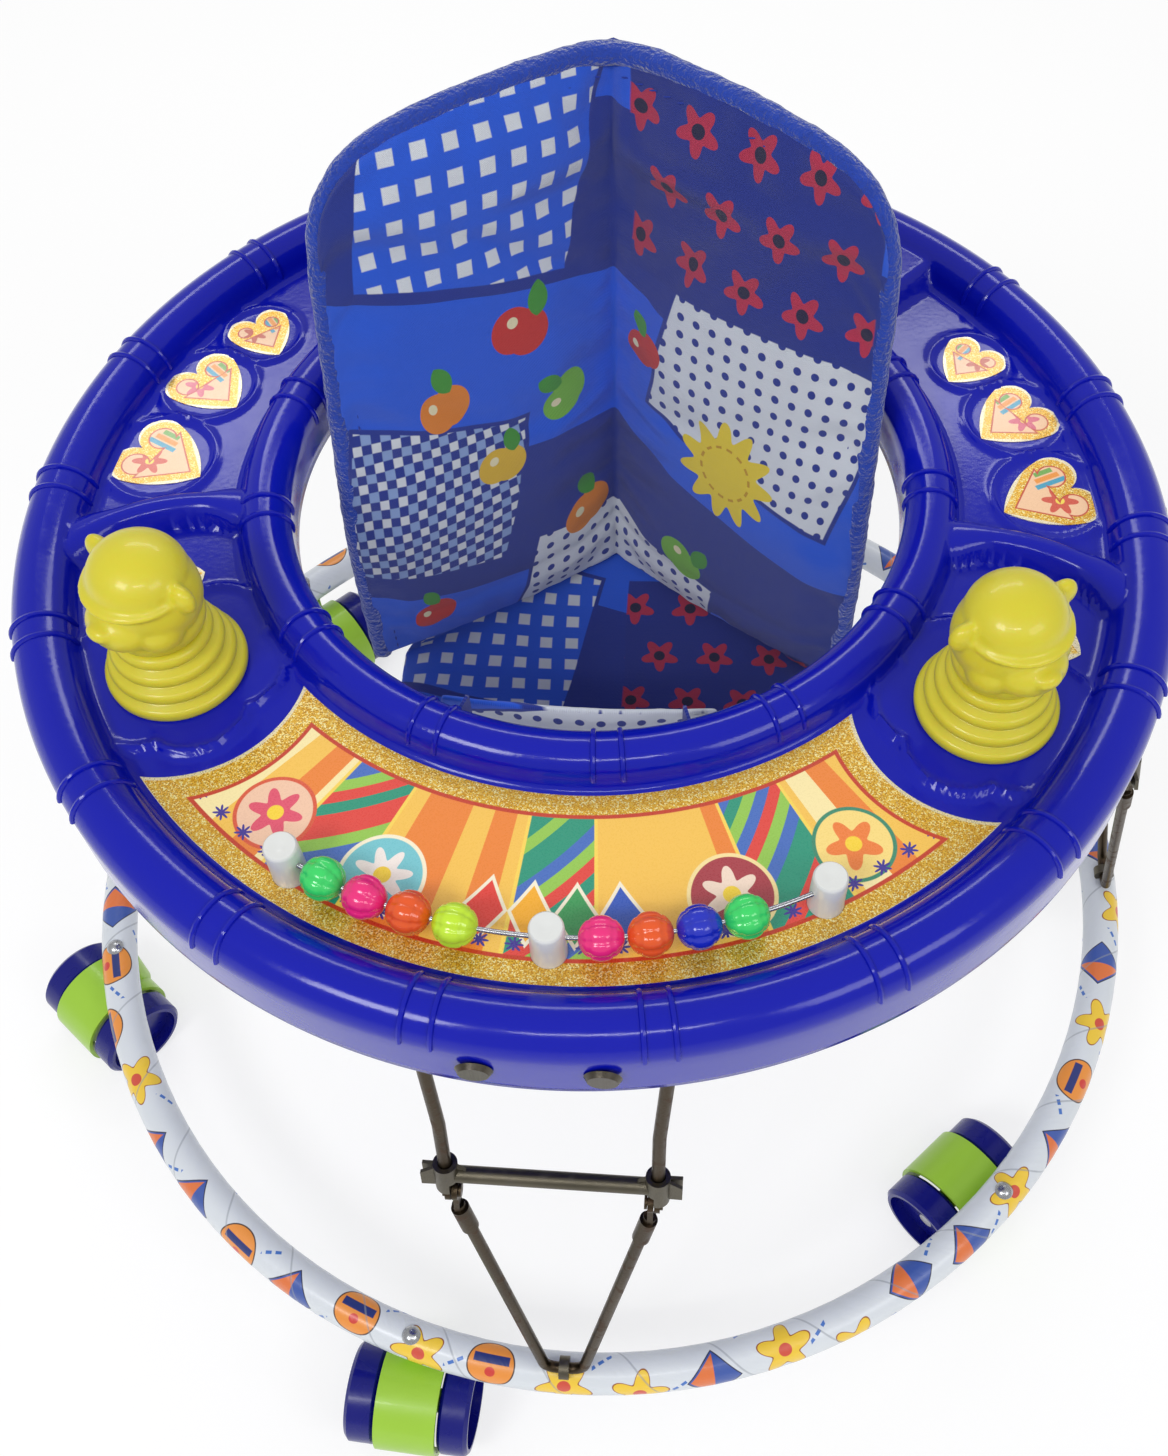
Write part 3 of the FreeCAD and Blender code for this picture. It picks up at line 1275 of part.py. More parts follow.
def strap_shape(angle, at_rear):
    """A strip from the seat to the hole's wall, with its end lying along the wall."""
    thick, width, low = size("strap_thickness"), size("strap_width"), strap_low()
    radius = size("hole_radius") - size("strap_gap")
    spread = math.degrees(size("strap_flat") / radius)
    centre = Vector(0, size("hole_offset"), low)
    band = Part.makeCylinder(radius, width, centre, Z_AXIS, spread)
    band = band.cut(Part.makeCylinder(radius - thick, width, centre))
    band.rotate(centre, Z_AXIS, angle - spread / 2)
    across = radius * math.cos(math.radians(angle)) * STRAP_START_SHARE
    behind = panel_thickness() + size("pad_crease") - size("pad_edge")
    behind += size("layer_gap") + thick * STRAP_CLEAR_SHARE
    ahead = size("pouch_front_depth") + size("pouch_thickness") / 2
    ahead += size("pouch_sag") * POUCH_CLEAR_SHARE
    start_y = panel_depth(across, low + width, behind) if at_rear else -ahead
    begin = Vector(across, start_y, low)
    inward = -1 if (across > 0) != at_rear else 1
    turn = math.radians(angle + inward * -spread / 2)
    middle = radius - thick / 2
    target = centre + Vector(middle * math.cos(turn), middle * math.sin(turn), 0)
    side = Z_AXIS.cross(target - begin).normalize() * (thick / 2)
    corners = [begin - side, begin + side, target + side, target - side]
    strip = Part.Face(Part.makePolygon(corners + corners[:1])).extrude(Vector(0, 0, width))
    keep = Part.makeCylinder(radius, width, centre)
    return band.fuse(strip.common(keep)).cut(stud_drill(angle))


def build_straps():
    """Six straps that hang the seat in the hole, each on a stud through the hole's wall."""
    pieces = []
    for angle, at_rear in strap_places():
        pieces += [strap_shape(angle, at_rear), stud_shape(angle)]
    node(feature("straps", Part.makeCompound(pieces)), "seat_straps")


build_ring()
build_tape()
build_caster_pins()
build_lugs()
build_casters()
build_legs()
build_tray()
build_brackets()
build_rivets()
build_front_label()
build_hearts()
build_toy_labels()
build_bead_rail()
build_beads()
build_toys()
build_seat_back()
build_pouch()
build_straps()

doc.recompute()
for obj in doc.Objects:
    broken = [state for state in obj.State if state in ("Invalid", "Error")]
    if broken:
        raise RuntimeError(f"{obj.Label}: {obj.State}")
for obj in NODES:
    shape = obj.Shape
    if shape.isNull() or not shape.isValid():
        raise RuntimeError(f"{obj.Label}: bad shape")
    print(obj.Label, len(shape.Solids), round(shape.Volume / 1000, 2))
    shape.exportStep(f"parts/{obj.Label}.step")
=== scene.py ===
"""Dresses the folding baby walker: moulded tray, taped floor ring, casters, toys and sewn seat."""

import json
import logging
import math
from dataclasses import dataclass
from enum import Enum
from typing import Callable, Iterable, Optional, Sequence, Union

import bmesh
import bpy
from mathutils import Matrix, Vector, noise

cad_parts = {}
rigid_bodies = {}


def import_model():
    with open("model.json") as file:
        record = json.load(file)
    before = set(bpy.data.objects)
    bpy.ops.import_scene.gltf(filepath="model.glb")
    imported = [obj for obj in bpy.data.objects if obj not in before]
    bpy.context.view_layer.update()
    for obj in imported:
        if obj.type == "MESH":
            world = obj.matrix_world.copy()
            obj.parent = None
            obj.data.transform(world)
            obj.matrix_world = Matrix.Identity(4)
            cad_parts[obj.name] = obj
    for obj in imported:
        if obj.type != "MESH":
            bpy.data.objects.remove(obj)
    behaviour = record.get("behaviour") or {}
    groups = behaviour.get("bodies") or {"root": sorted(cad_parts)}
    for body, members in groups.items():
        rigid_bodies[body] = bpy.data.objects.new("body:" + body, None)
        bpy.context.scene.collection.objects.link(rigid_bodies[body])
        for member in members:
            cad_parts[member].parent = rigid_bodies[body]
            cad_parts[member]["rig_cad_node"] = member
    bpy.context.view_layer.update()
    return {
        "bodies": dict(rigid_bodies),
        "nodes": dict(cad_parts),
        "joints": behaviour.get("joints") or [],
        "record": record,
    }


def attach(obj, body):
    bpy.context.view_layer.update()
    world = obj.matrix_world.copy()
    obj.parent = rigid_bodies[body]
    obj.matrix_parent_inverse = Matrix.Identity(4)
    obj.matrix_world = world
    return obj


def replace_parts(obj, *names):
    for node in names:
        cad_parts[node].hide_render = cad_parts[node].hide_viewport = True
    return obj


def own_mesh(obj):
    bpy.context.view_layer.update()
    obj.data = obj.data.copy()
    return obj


LOG = logging.getLogger("walker")
MM = 0.001
TAU = math.tau
Colour = tuple[int, int, int]


def linear(colour: Colour) -> tuple[float, float, float, float]:
    """Turns a screen colour of 0 to 255 into the linear values that a shader takes.

    Args:
        colour: Red, green and blue as a screen shows them.

    Returns:
        Linear red, green, blue and full alpha.
    """
    parts = [channel / 255 for channel in colour]
    low = [part / 12.92 if part <= 0.04045 else ((part + 0.055) / 1.055) ** 2.4 for part in parts]
    return (low[0], low[1], low[2], 1.0)


def smooth_step(low: float, high: float, value: float) -> float:
    """Rises smoothly from 0 at low to 1 at high."""
    share = min(1.0, max(0.0, (value - low) / (high - low)))
    return share * share * (3 - 2 * share)


def interpolate(points: Sequence[tuple[float, float]], value: float) -> float:
    """Reads a value off a line of points sorted by their first number.

    Args:
        points: The line of points.
        value: Where it is read.

    Returns:
        The value there.
    """
    if value <= points[0][0]:
        return points[0][1]
    for (low, start), (high, end) in zip(points, points[1:]):
        if value <= high:
            return start + (end - start) * (value - low) / (high - low)
    return points[-1][1]


# Shader writing
class Term:
    """A number that varies over a surface, held as the output of a shader node."""

    def __init__(self, tree: bpy.types.NodeTree, socket: bpy.types.NodeSocket) -> None:
        """Keeps the tree and the socket that gives the number."""
        self.tree = tree
        self.socket = socket

    @staticmethod
    def work(tree: bpy.types.NodeTree, operation: str, *values: "Number", clamp: bool = False) -> "Term":
        """Adds one Math node.

        Args:
            tree: The node tree.
            operation: The Math node's operation.
            values: Terms or plain numbers, in the order of the node's inputs.
            clamp: Whether the result is kept between 0 and 1.

        Returns:
            The node's result.
        """
        node = tree.nodes.new("ShaderNodeMath")
        node.operation = operation
        node.use_clamp = clamp
        for socket, value in zip(node.inputs, values):
            if isinstance(value, Term):
                tree.links.new(value.socket, socket)
            else:
                socket.default_value = value
        return Term(tree, node.outputs[0])

    def call(self, operation: str, *others: "Number", clamp: bool = False) -> "Term":
        """Applies a Math operation with this term first."""
        return Term.work(self.tree, operation, self, *others, clamp=clamp)

    def __add__(self, other: "Number") -> "Term":
        """Sum."""
        return self.call("ADD", other)

    def __radd__(self, other: "Number") -> "Term":
        """Sum with a plain number first."""
        return self.call("ADD", other)

    def __sub__(self, other: "Number") -> "Term":
        """Difference."""
        return self.call("SUBTRACT", other)

    def __rsub__(self, other: "Number") -> "Term":
        """Difference with a plain number first."""
        return Term.work(self.tree, "SUBTRACT", other, self)

    def __mul__(self, other: "Number") -> "Term":
        """Product."""
        return self.call("MULTIPLY", other)

    def __rmul__(self, other: "Number") -> "Term":
        """Product with a plain number first."""
        return self.call("MULTIPLY", other)

    def __truediv__(self, other: "Number") -> "Term":
        """Quotient."""
        return self.call("DIVIDE", other)

    def __neg__(self) -> "Term":
        """The same number with the other sign."""
        return self.call("MULTIPLY", -1.0)

    def __abs__(self) -> "Term":
        """Size without sign."""
        return self.call("ABSOLUTE")

    def min(self, other: "Number") -> "Term":
        """The smaller of two, which joins two shapes."""
        return self.call("MINIMUM", other)

    def max(self, other: "Number") -> "Term":
        """The larger of two, which keeps what two shapes share."""
        return self.call("MAXIMUM", other)

    def inside(self, blur: float = 0.0003) -> "Term":
        """1 where a distance is below zero, with an edge as soft as blur."""
        return (self * (-1 / blur)).call("ADD", 0.5, clamp=True)

    def wrap(self, pitch: float) -> "Term":
        """Repeats a length, centred on zero in each repeat."""
        return self.call("WRAP", pitch / 2, -pitch / 2)

    def cell(self, pitch: float) -> "Term":
        """The number of the repeat that a length lies in."""
        return (self / pitch).call("ROUND")


Number = Union[Term, float]


class Surface:
    """Writes the nodes of one material or effect group."""

    def __init__(self, tree: bpy.types.NodeTree) -> None:
        """Keeps the tree to write in."""
        self.tree = tree

    def node(self, kind: str, **settings: object) -> bpy.types.Node:
        """Adds a node and sets its properties.

        Args:
            kind: The node's type without the leading ShaderNode.
            settings: Properties of the node.

        Returns:
            The new node.
        """
        made = self.tree.nodes.new("ShaderNode" + kind)
        for name, value in settings.items():
            setattr(made, name, value)
        return made

    def feed(self, socket: bpy.types.NodeSocket, value: object) -> None:
        """Links or sets one input socket.

        Args:
            socket: The input.
            value: A term, a socket or a plain value.
        """
        if isinstance(value, Term):
            self.tree.links.new(value.socket, socket)
        elif isinstance(value, bpy.types.NodeSocket):
            self.tree.links.new(value, socket)
        else:
            socket.default_value = value

    def places(self, source: str = "Object") -> tuple[Term, Term, Term]:
        """Position on the surface in metres, as three terms.

        Args:
            source: Object, or UV for pieces that carry their own map.

        Returns:
            The three coordinates.
        """
        coordinates = self.node("TexCoord")
        split = self.node("SeparateXYZ")
        self.tree.links.new(coordinates.outputs[source], split.inputs[0])
        return tuple(Term(self.tree, output) for output in split.outputs)

    def vector(self, x: Number, y: Number, z: Number = 0.0) -> bpy.types.NodeSocket:
        """Joins three numbers into a vector."""
        joined = self.node("CombineXYZ")
        for socket, value in zip(joined.inputs, (x, y, z)):
            self.feed(socket, value)
        return joined.outputs[0]

    def noise(self, scale: float, detail: float = 2.0, place: Optional[bpy.types.NodeSocket] = None,
              distortion: float = 0.0) -> Term:
        """Cloud noise on Object coordinates or on a given place.

        Args:
            scale: Clouds in a metre.
            detail: Finer layers.
            place: Where it is read.
            distortion: How far it is warped.

        Returns:
            A value from 0 to 1.
        """
        if place is None:
            place = self.node("TexCoord").outputs["Object"]
        cloud = self.node("TexNoise")
        self.feed(cloud.inputs["Vector"], place)
        for name, value in (("Scale", scale), ("Detail", detail), ("Distortion", distortion)):
            self.feed(cloud.inputs[name], value)
        return Term(self.tree, cloud.outputs[0])

    def chance(self, x: Number, y: Number = 0.0) -> Term:
        """A fixed random number from 0 to 1 for each whole-numbered place."""
        pick = self.node("TexWhiteNoise", noise_dimensions="3D")
        self.feed(pick.inputs["Vector"], self.vector(x, y, 0.5))
        return Term(self.tree, pick.outputs["Value"])

    def mix(self, share: Number, below: object, above: object) -> bpy.types.NodeSocket:
        """Blends two colours.

        Args:
            share: Share of the second.
            below: The first.
            above: The second.

        Returns:
            The blend.
        """
        blend = self.node("Mix", data_type="RGBA")
        self.feed(blend.inputs[0], share)
        self.feed(blend.inputs[6], below)
        self.feed(blend.inputs[7], above)
        return blend.outputs[2]

    def disc(self, x: Term, y: Term, cx: float, cy: float, radius: Number) -> Term:
        """Distance to a disc's edge, below zero inside."""
        across, along = x - cx, y - cy
        return (across * across + along * along).call("SQRT") - radius

    def block(self, x: Term, y: Term, cx: float, cy: float, half_x: float, half_y: float) -> Term:
        """Distance to a rectangle's edge, below zero inside."""
        return (abs(x - cx) - half_x).max(abs(y - cy) - half_y)

    def bloom(self, x: Term, y: Term, radius: float, depth: float, petals: int,
              turn: Number = 0.0) -> Term:
        """Distance to the edge of a flower or star about the origin, below zero inside."""
        angle = y.call("ARCTAN2", x) + turn
        wave = (angle * float(petals)).call("COSINE") * depth
        return (x * x + y * y).call("SQRT") - (wave + radius)

    def turned(self, x: Term, y: Term, cx: float, cy: float, angle: float) -> tuple[Term, Term]:
        """Coordinates about a point, turned by an angle in radians."""
        across, along = x - cx, y - cy
        cosine, sine = math.cos(angle), math.sin(angle)
        return across * cosine + along * sine, along * cosine - across * sine


class Effect:
    """A shader group shared by several materials, built once."""

    made: dict[str, bpy.types.NodeTree] = {}

    def __init__(self, name: str, inputs: dict[str, float], outputs: Sequence[str]) -> None:
        """Names the group and its sockets.

        Args:
            name: The group's name.
            inputs: Number inputs and their defaults.
            outputs: Number outputs.
        """
        self.name = name
        self.inputs = inputs
        self.outputs = outputs

    def build(self, write: Callable[[Surface, dict[str, Term]], dict[str, Term]]) -> bpy.types.NodeTree:
        """Makes the group on its first use.

        Args:
            write: Writes the inside.

        Returns:
            The group.
        """
        if self.name in Effect.made:
            return Effect.made[self.name]
        tree = bpy.data.node_groups.new(self.name, "ShaderNodeTree")
        for name, value in self.inputs.items():
            socket = tree.interface.new_socket(name, in_out="INPUT", socket_type="NodeSocketFloat")
            socket.default_value = value
        for name in self.outputs:
            tree.interface.new_socket(name, in_out="OUTPUT", socket_type="NodeSocketFloat")
        entry, leave = tree.nodes.new("NodeGroupInput"), tree.nodes.new("NodeGroupOutput")
        given = {name: Term(tree, entry.outputs[name]) for name in self.inputs}
        for name, term in write(Surface(tree), given).items():
            tree.links.new(term.socket, leave.inputs[name])
        Effect.made[self.name] = tree
        return tree

    def place(self, surface: Surface, write: Callable[[Surface, dict[str, Term]], dict[str, Term]],
              **values: float) -> dict[str, Term]:
        """Puts the group into a material.

        Args:
            surface: The material's writer.
            write: Writes the group's inside on its first use.
            values: Values of its inputs.

        Returns:
            The group's outputs by name.
        """
        box = surface.tree.nodes.new("ShaderNodeGroup")
        box.node_tree = self.build(write)
        for name, value in values.items():
            box.inputs[name].default_value = value
        return {name: Term(surface.tree, box.outputs[name]) for name in self.outputs}


def write_skin(surface: Surface, given: dict[str, Term]) -> dict[str, Term]:
    """Inside of the moulded-skin effect: cloudy tone, handling marks and a fine orange peel.

    Args:
        surface: The material's nodes.
        given: The effect's inputs by name.

    Returns:
        Its outputs by name.
    """
    place = surface.node("TexCoord").outputs["Object"]
    cloud = surface.noise(9.0, 3.0, place)
    peel = surface.noise(420.0, 1.0, place)
    rubs = surface.noise(60.0, 4.0, place, 1.5)
    split = surface.node("SeparateXYZ")
    surface.tree.links.new(place, split.inputs[0])
    x, y, z = (Term(surface.tree, output) for output in split.outputs)
    scratch = surface.noise(1.0, 3.0, surface.vector(x * 900.0, y * 45.0, z * 45.0))
    mark = (scratch - 0.66).call("MULTIPLY", 6.0, clamp=True) * given["Marks"]
    return {"Tone": (cloud - 0.5) * given["Variation"] + (rubs - 0.5) * 0.04 + 0.5,
            "Rough": (rubs - 0.5) * given["Spread"] + mark * 0.12,
            "Height": peel * given["Peel"] - mark * 0.3}


def write_weave(surface: Surface, given: dict[str, Term]) -> dict[str, Term]:
    """Inside of the cloth effect: crossing threads, slubs and soft creases, with painted shade in the
    hollows of the threads and the creases.

    Args:
        surface: The material's nodes.
        given: The effect's inputs by name.

    Returns:
        Its outputs by name.
    """
    x, y, _ = surface.places("UV")
    warp = (x * given["Count"]).call("SINE")
    weft = (y * given["Count"]).call("SINE")
    slub = surface.noise(1.0, 2.0, surface.vector(x * 40.0, y * 700.0))
    crease = surface.noise(26.0, 3.0, surface.vector(x, y), 0.8)
    fuzz = surface.noise(900.0, 2.0, surface.vector(x, y))
    weave = warp * weft * 0.5
    # The tone darkens where the threads dip and where the creases are low: painted shade in their hollows;
    # the slubs add the yarn's own tone.
    return {"Height": weave * given["Depth"] + slub * 0.2 + crease * given["Crease"] + fuzz * 0.15,
            "Tone": weave * 0.05 + (slub - 0.5) * 0.12 + (crease - 0.5) * 0.16 + 0.5}


SKIN = Effect("Moulded skin", {"Variation": 0.15, "Spread": 0.2, "Marks": 0.2, "Peel": 0.3},
              ("Tone", "Rough", "Height"))
# Its Tone output carries painted shade in the hollows of the threads and the creases.
WEAVE = Effect("Woven cloth", {"Count": 9000.0, "Depth": 0.6, "Crease": 1.0}, ("Height", "Tone"))


class Finish:
    """A material with a Principled shader, whose nodes a subclass writes."""

    name: str

    def write(self, surface: Surface, shader: bpy.types.Node) -> None:
        """Writes the nodes that feed the shader; every finish has its own.

        Args:
            surface: The material's nodes.
            shader: Its Principled shader.
        """
        raise NotImplementedError

    def bump(self, surface: Surface, shader: bpy.types.Node, height: Term, depth: float,
             strength: float = 1.0) -> None:
        """Feeds a height to the shader's normal.

        Args:
            surface: The material's writer.
            shader: The Principled shader.
            height: The height, about 0 to 1.
            depth: Depth in metres of a height of 1.
            strength: How much of it shows.
        """
        relief = surface.node("Bump")
        surface.feed(relief.inputs["Height"], height)
        relief.inputs["Distance"].default_value = depth
        relief.inputs["Strength"].default_value = strength
        surface.tree.links.new(relief.outputs[0], shader.inputs["Normal"])

    def tint(self, surface: Surface, colour: object, tone: Term, dark: float = 0.72) -> bpy.types.NodeSocket:
        """Darkens and lightens a colour by a tone about 0.5."""
        deep = surface.node("Mix", data_type="RGBA", blend_type="MULTIPLY")
        surface.feed(deep.inputs[0], (1.0 - tone) * 1.0)
        surface.feed(deep.inputs[6], colour)
        deep.inputs[7].default_value = (dark, dark, dark, 1.0)
        return deep.outputs[2]

    def material(self) -> bpy.types.Material:
        """The finish as a material, made on its first use.

        Returns:
            The material.
        """
        known = bpy.data.materials.get(self.name)
        if known:
            return known
        made = bpy.data.materials.new(self.name)
        made.use_nodes = True
        made.node_tree.nodes.clear()
        surface = Surface(made.node_tree)
        shader, output = surface.node("BsdfPrincipled"), surface.node("OutputMaterial")
        made.node_tree.links.new(shader.outputs[0], output.inputs[0])
        self.write(surface, shader)
        return made

    def dress(self, piece: bpy.types.Object) -> None:
        """Gives the finish to every slot of a piece.

        Args:
            piece: The piece.
        """
        made = self.material()
        if not piece.data.materials:
            piece.data.materials.append(made)
        for index in range(len(piece.data.materials)):
            piece.data.materials[index] = made


@dataclass(frozen=True)
class Plastic(Finish):
    """Moulded plastic of one colour, with gloss, faint clouding and handling marks."""

    name: str
    colour: Colour
    roughness: float = 0.22
    coat: float = 0.4
    variation: float = 0.3
    marks: float = 0.25
    peel: float = 0.35
    soft: float = 0.0
    shine: float = 0.4

    def write(self, surface: Surface, shader: bpy.types.Node) -> None:
        """Colour, gloss and orange peel."""
        skin = SKIN.place(surface, write_skin, Variation=self.variation, Marks=self.marks,
                          Peel=self.peel, Spread=0.16)
        colour = self.tint(surface, linear(self.colour), skin["Tone"])
        surface.feed(shader.inputs["Base Color"], colour)
        surface.feed(shader.inputs["Roughness"], skin["Rough"] + self.roughness)
        shader.inputs["Coat Weight"].default_value = self.coat
        shader.inputs["Coat Roughness"].default_value = 0.08
        shader.inputs["Specular IOR Level"].default_value = self.shine
        shader.inputs["Subsurface Weight"].default_value = self.soft
        shader.inputs["Subsurface Scale"].default_value = 0.004
        self.bump(surface, shader, skin["Height"], 0.00012)


class Grade(Enum):
    """How a metal part was made, which sets its colour and its marks."""

    DRAWN_WIRE = "drawn wire"
    POLISHED = "polished"
    PRESSED = "pressed"


@dataclass(frozen=True)
class Metal(Finish):
    """Steel: drawn wire with dull brown plating, polished rivets or pressed parts."""

    name: str
    colour: Colour
    grade: Grade
    roughness: float = 0.32

    def write(self, surface: Surface, shader: bpy.types.Node) -> None:
        """Plating tone, streaks along the part and dull spots."""
        place = surface.node("TexCoord").outputs["Object"]
        cloud = surface.noise(35.0, 4.0, place, 0.6)
        spots = (surface.noise(190.0, 3.0, place) - 0.56).call("MULTIPLY", 9.0, clamp=True)
        fine = surface.noise(1400.0, 2.0, place)
        x, y, z = surface.places()
        streak = surface.noise(1.0, 3.0, surface.vector(x * 2200.0, y * 2200.0, z * 60.0))
        drawn = self.grade is Grade.DRAWN_WIRE
        dirt = spots * (0.75 if drawn else 0.25)
        base = surface.mix(cloud, linear(tuple(int(part * 0.72) for part in self.colour)),
                           linear(self.colour))
        colour = surface.mix(dirt, base, linear((74, 52, 34) if drawn else (96, 92, 88)))
        surface.feed(shader.inputs["Base Color"], colour)
        surface.feed(shader.inputs["Metallic"], 1.0 - dirt * 0.55)
        surface.feed(shader.inputs["Roughness"],
                     streak * 0.22 + dirt * 0.3 + (self.roughness - 0.1))
        depth = 0.00003 if self.grade is Grade.POLISHED else 0.00009
        self.bump(surface, shader, fine * 0.6 + streak + dirt * 0.8, depth)


@dataclass(frozen=True)
class GoldLabel(Finish):
    """Printed label with a glittering gold border; print_inside adds what it frames."""

    name: str

    def edge(self, surface: Surface, x: Term, y: Term) -> Term:
        """Distance from the label's edge inwards, in metres.

        Args:
            surface: The material's nodes.
            x: Place across.
            y: Place from front to rear.

        Returns:
            The distance, in metres.
        """
        raise NotImplementedError

    def picture(self, surface: Surface, x: Term, y: Term) -> bpy.types.NodeSocket:
        """The colours inside the border.

        Args:
            surface: The material's nodes.
            x: Place across.
            y: Place from front to rear.

        Returns:
            The picture.
        """
        raise NotImplementedError

    def lines(self) -> tuple[float, float, float]:
        """Where the pale cut edge ends, the gold ends and the red line ends, in metres."""
        return 0.0012, 0.0085, 0.0105

    def write(self, surface: Surface, shader: bpy.types.Node) -> None:
        """Border, glitter with painted glints on the palest flakes, picture and a clear gloss."""
        x, y, _ = surface.places()
        depth = self.edge(surface, x, y)
        cut, gold_end, line_end = self.lines()
        flake = surface.node("TexVoronoi")
        flake.inputs["Scale"].default_value = 2100.0
        surface.tree.links.new(surface.node("TexCoord").outputs["Object"], flake.inputs["Vector"])
        shine = surface.node("SeparateColor")
        surface.tree.links.new(flake.outputs["Color"], shine.inputs[0])
        spark = Term(surface.tree, shine.outputs[0])
        # The palest flakes turn near white: painted glints where flakes would catch a lamp.
        painted_glint = (spark - 0.72).call("MULTIPLY", 5.0, clamp=True)
        gold = surface.mix(spark, linear((214, 150, 26)), linear((246, 206, 74)))
        gold = surface.mix(painted_glint, gold, linear((255, 246, 180)))
        colour = surface.mix((cut - depth).inside(0.0004), linear((238, 226, 190)), gold)
        inner = surface.mix((line_end - depth).inside(0.0003), linear((196, 60, 34)),
                            self.picture(surface, x, y))
        framed = (gold_end - depth).inside(0.0003)
        colour = surface.mix(framed, colour, inner)
        surface.feed(shader.inputs["Base Color"], colour)
        foil = (1.0 - framed) * 0.55
        surface.feed(shader.inputs["Metallic"], foil)
        surface.feed(shader.inputs["Roughness"], spark * 0.25 + 0.2)
        shader.inputs["Coat Weight"].default_value = 0.6
        shader.inputs["Coat Roughness"].default_value = 0.12
        wrinkle = surface.noise(55.0, 2.0)
        self.bump(surface, shader, spark * (1.0 - framed) * 0.25 + wrinkle * 0.8, 0.0002)


# Mesh making
def new_piece(name: str, mesh: bmesh.types.BMesh, body: str, finish: Finish,
              smooth: float = 40.0) -> bpy.types.Object:
    """Turns a bmesh into a finished piece that rides on a body.

    Args:
        name: The piece's name.
        mesh: The mesh, in metres in the object's frame.
        body: The body that carries it.
        finish: Its finish.
        smooth: Largest angle in degrees that is shaded smooth.

    Returns:
        The new object.
    """
    bmesh.ops.recalc_face_normals(mesh, faces=mesh.faces)
    for face in mesh.faces:
        face.smooth = True
    for edge in mesh.edges:
        edge.smooth = len(edge.link_faces) == 2 and edge.calc_face_angle(0.0) < math.radians(smooth)
    data = bpy.data.meshes.new(name)
    mesh.to_mesh(data)
    mesh.free()
    piece = bpy.data.objects.new(name, data)
    bpy.context.scene.collection.objects.link(piece)
    finish.dress(piece)
    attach(piece, body)
    LOG.info("%s: %d faces", name, len(data.polygons))
    return piece


def outline(mesh: bmesh.types.BMesh, points: Iterable[tuple[float, float]], closed: bool = False,
            scale: float = MM) -> list[bmesh.types.BMEdge]:
    """Draws a line of (radius, height) points in the XZ plane.

    Args:
        mesh: The bmesh to draw in.
        points: Radius and height in millimetres.
        closed: Whether the last point joins the first.
        scale: Length of a millimetre in the mesh.

    Returns:
        The line's edges.
    """
    dots = [mesh.verts.new((radius * scale, 0.0, height * scale)) for radius, height in points]
    pairs = list(zip(dots, dots[1:]))
    if closed:
        pairs.append((dots[-1], dots[0]))
    return [mesh.edges.new(pair) for pair in pairs]


def revolve(mesh: bmesh.types.BMesh, edges: Sequence[bmesh.types.BMEdge], steps: int,
            centre: Vector = Vector((0, 0, 0)), axis: Vector = Vector((0, 0, 1)),
            angle: float = TAU) -> dict:
    """Spins edges and their points about an axis; a full turn is closed."""
    parts = list(edges) + list({dot for edge in edges for dot in edge.verts})
    return bmesh.ops.spin(mesh, geom=parts, cent=centre, axis=axis, dvec=(0, 0, 0), angle=angle,
                          steps=steps, use_merge=abs(angle) >= TAU - 1e-6, use_duplicate=False)


def arc_points(cx: float, cz: float, radius: float, start: float, end: float,
               steps: int) -> list[tuple[float, float]]:
    """Points of an arc in the radius and height plane, with angles in degrees from outwards."""
    turns = [math.radians(start + (end - start) * step / steps) for step in range(steps + 1)]
    return [(cx + radius * math.cos(turn), cz + radius * math.sin(turn)) for turn in turns]


def join_part(mesh: bmesh.types.BMesh, part: bmesh.types.BMesh, move: Matrix) -> None:
    """Adds a finished form to a mesh at a place, and frees the form.

    Args:
        mesh: What it is added to.
        part: The form.
        move: Its place and turn.
    """
    bmesh.ops.remove_doubles(part, verts=part.verts, dist=0.00002)
    bmesh.ops.transform(part, matrix=move, verts=part.verts)
    held = bpy.data.meshes.new("part")
    part.to_mesh(held)
    part.free()
    mesh.from_mesh(held)
    bpy.data.meshes.remove(held)


def remeshed(piece: bpy.types.Object, voxel: float, rounds: int, factor: float = 0.6) -> None:
    """Joins a piece's overlapping forms into one smooth skin and applies it.

    Args:
        piece: The piece.
        voxel: Voxel size in metres.
        rounds: Smoothing rounds.
        factor: Strength of each round.
    """
    joined = piece.modifiers.new("join", "REMESH")
    joined.mode = "VOXEL"
    joined.voxel_size = voxel
    joined.use_smooth_shade = True
    soften = piece.modifiers.new("soften", "SMOOTH")
    soften.factor, soften.iterations = factor, rounds
    applied(piece)


def applied(piece: bpy.types.Object) -> None:
    """Replaces a piece's mesh by what its modifiers make of it.

    Args:
        piece: The piece.
    """
    graph = bpy.context.evaluated_depsgraph_get()
    graph.update()
    old = piece.data
    made = bpy.data.meshes.new_from_object(piece.evaluated_get(graph), depsgraph=graph)
    piece.modifiers.clear()
    piece.data = made
    for material in old.materials:
        if material and material.name not in made.materials:
            made.materials.append(material)
    bpy.data.meshes.remove(old)


def at_angle(angle: float, radius: float) -> Vector:
    """A place about the walker's axis, with the angle in degrees from the front to the right."""
    turn = math.radians(angle)
    return Vector((radius * math.sin(turn), -radius * math.cos(turn), 0.0))


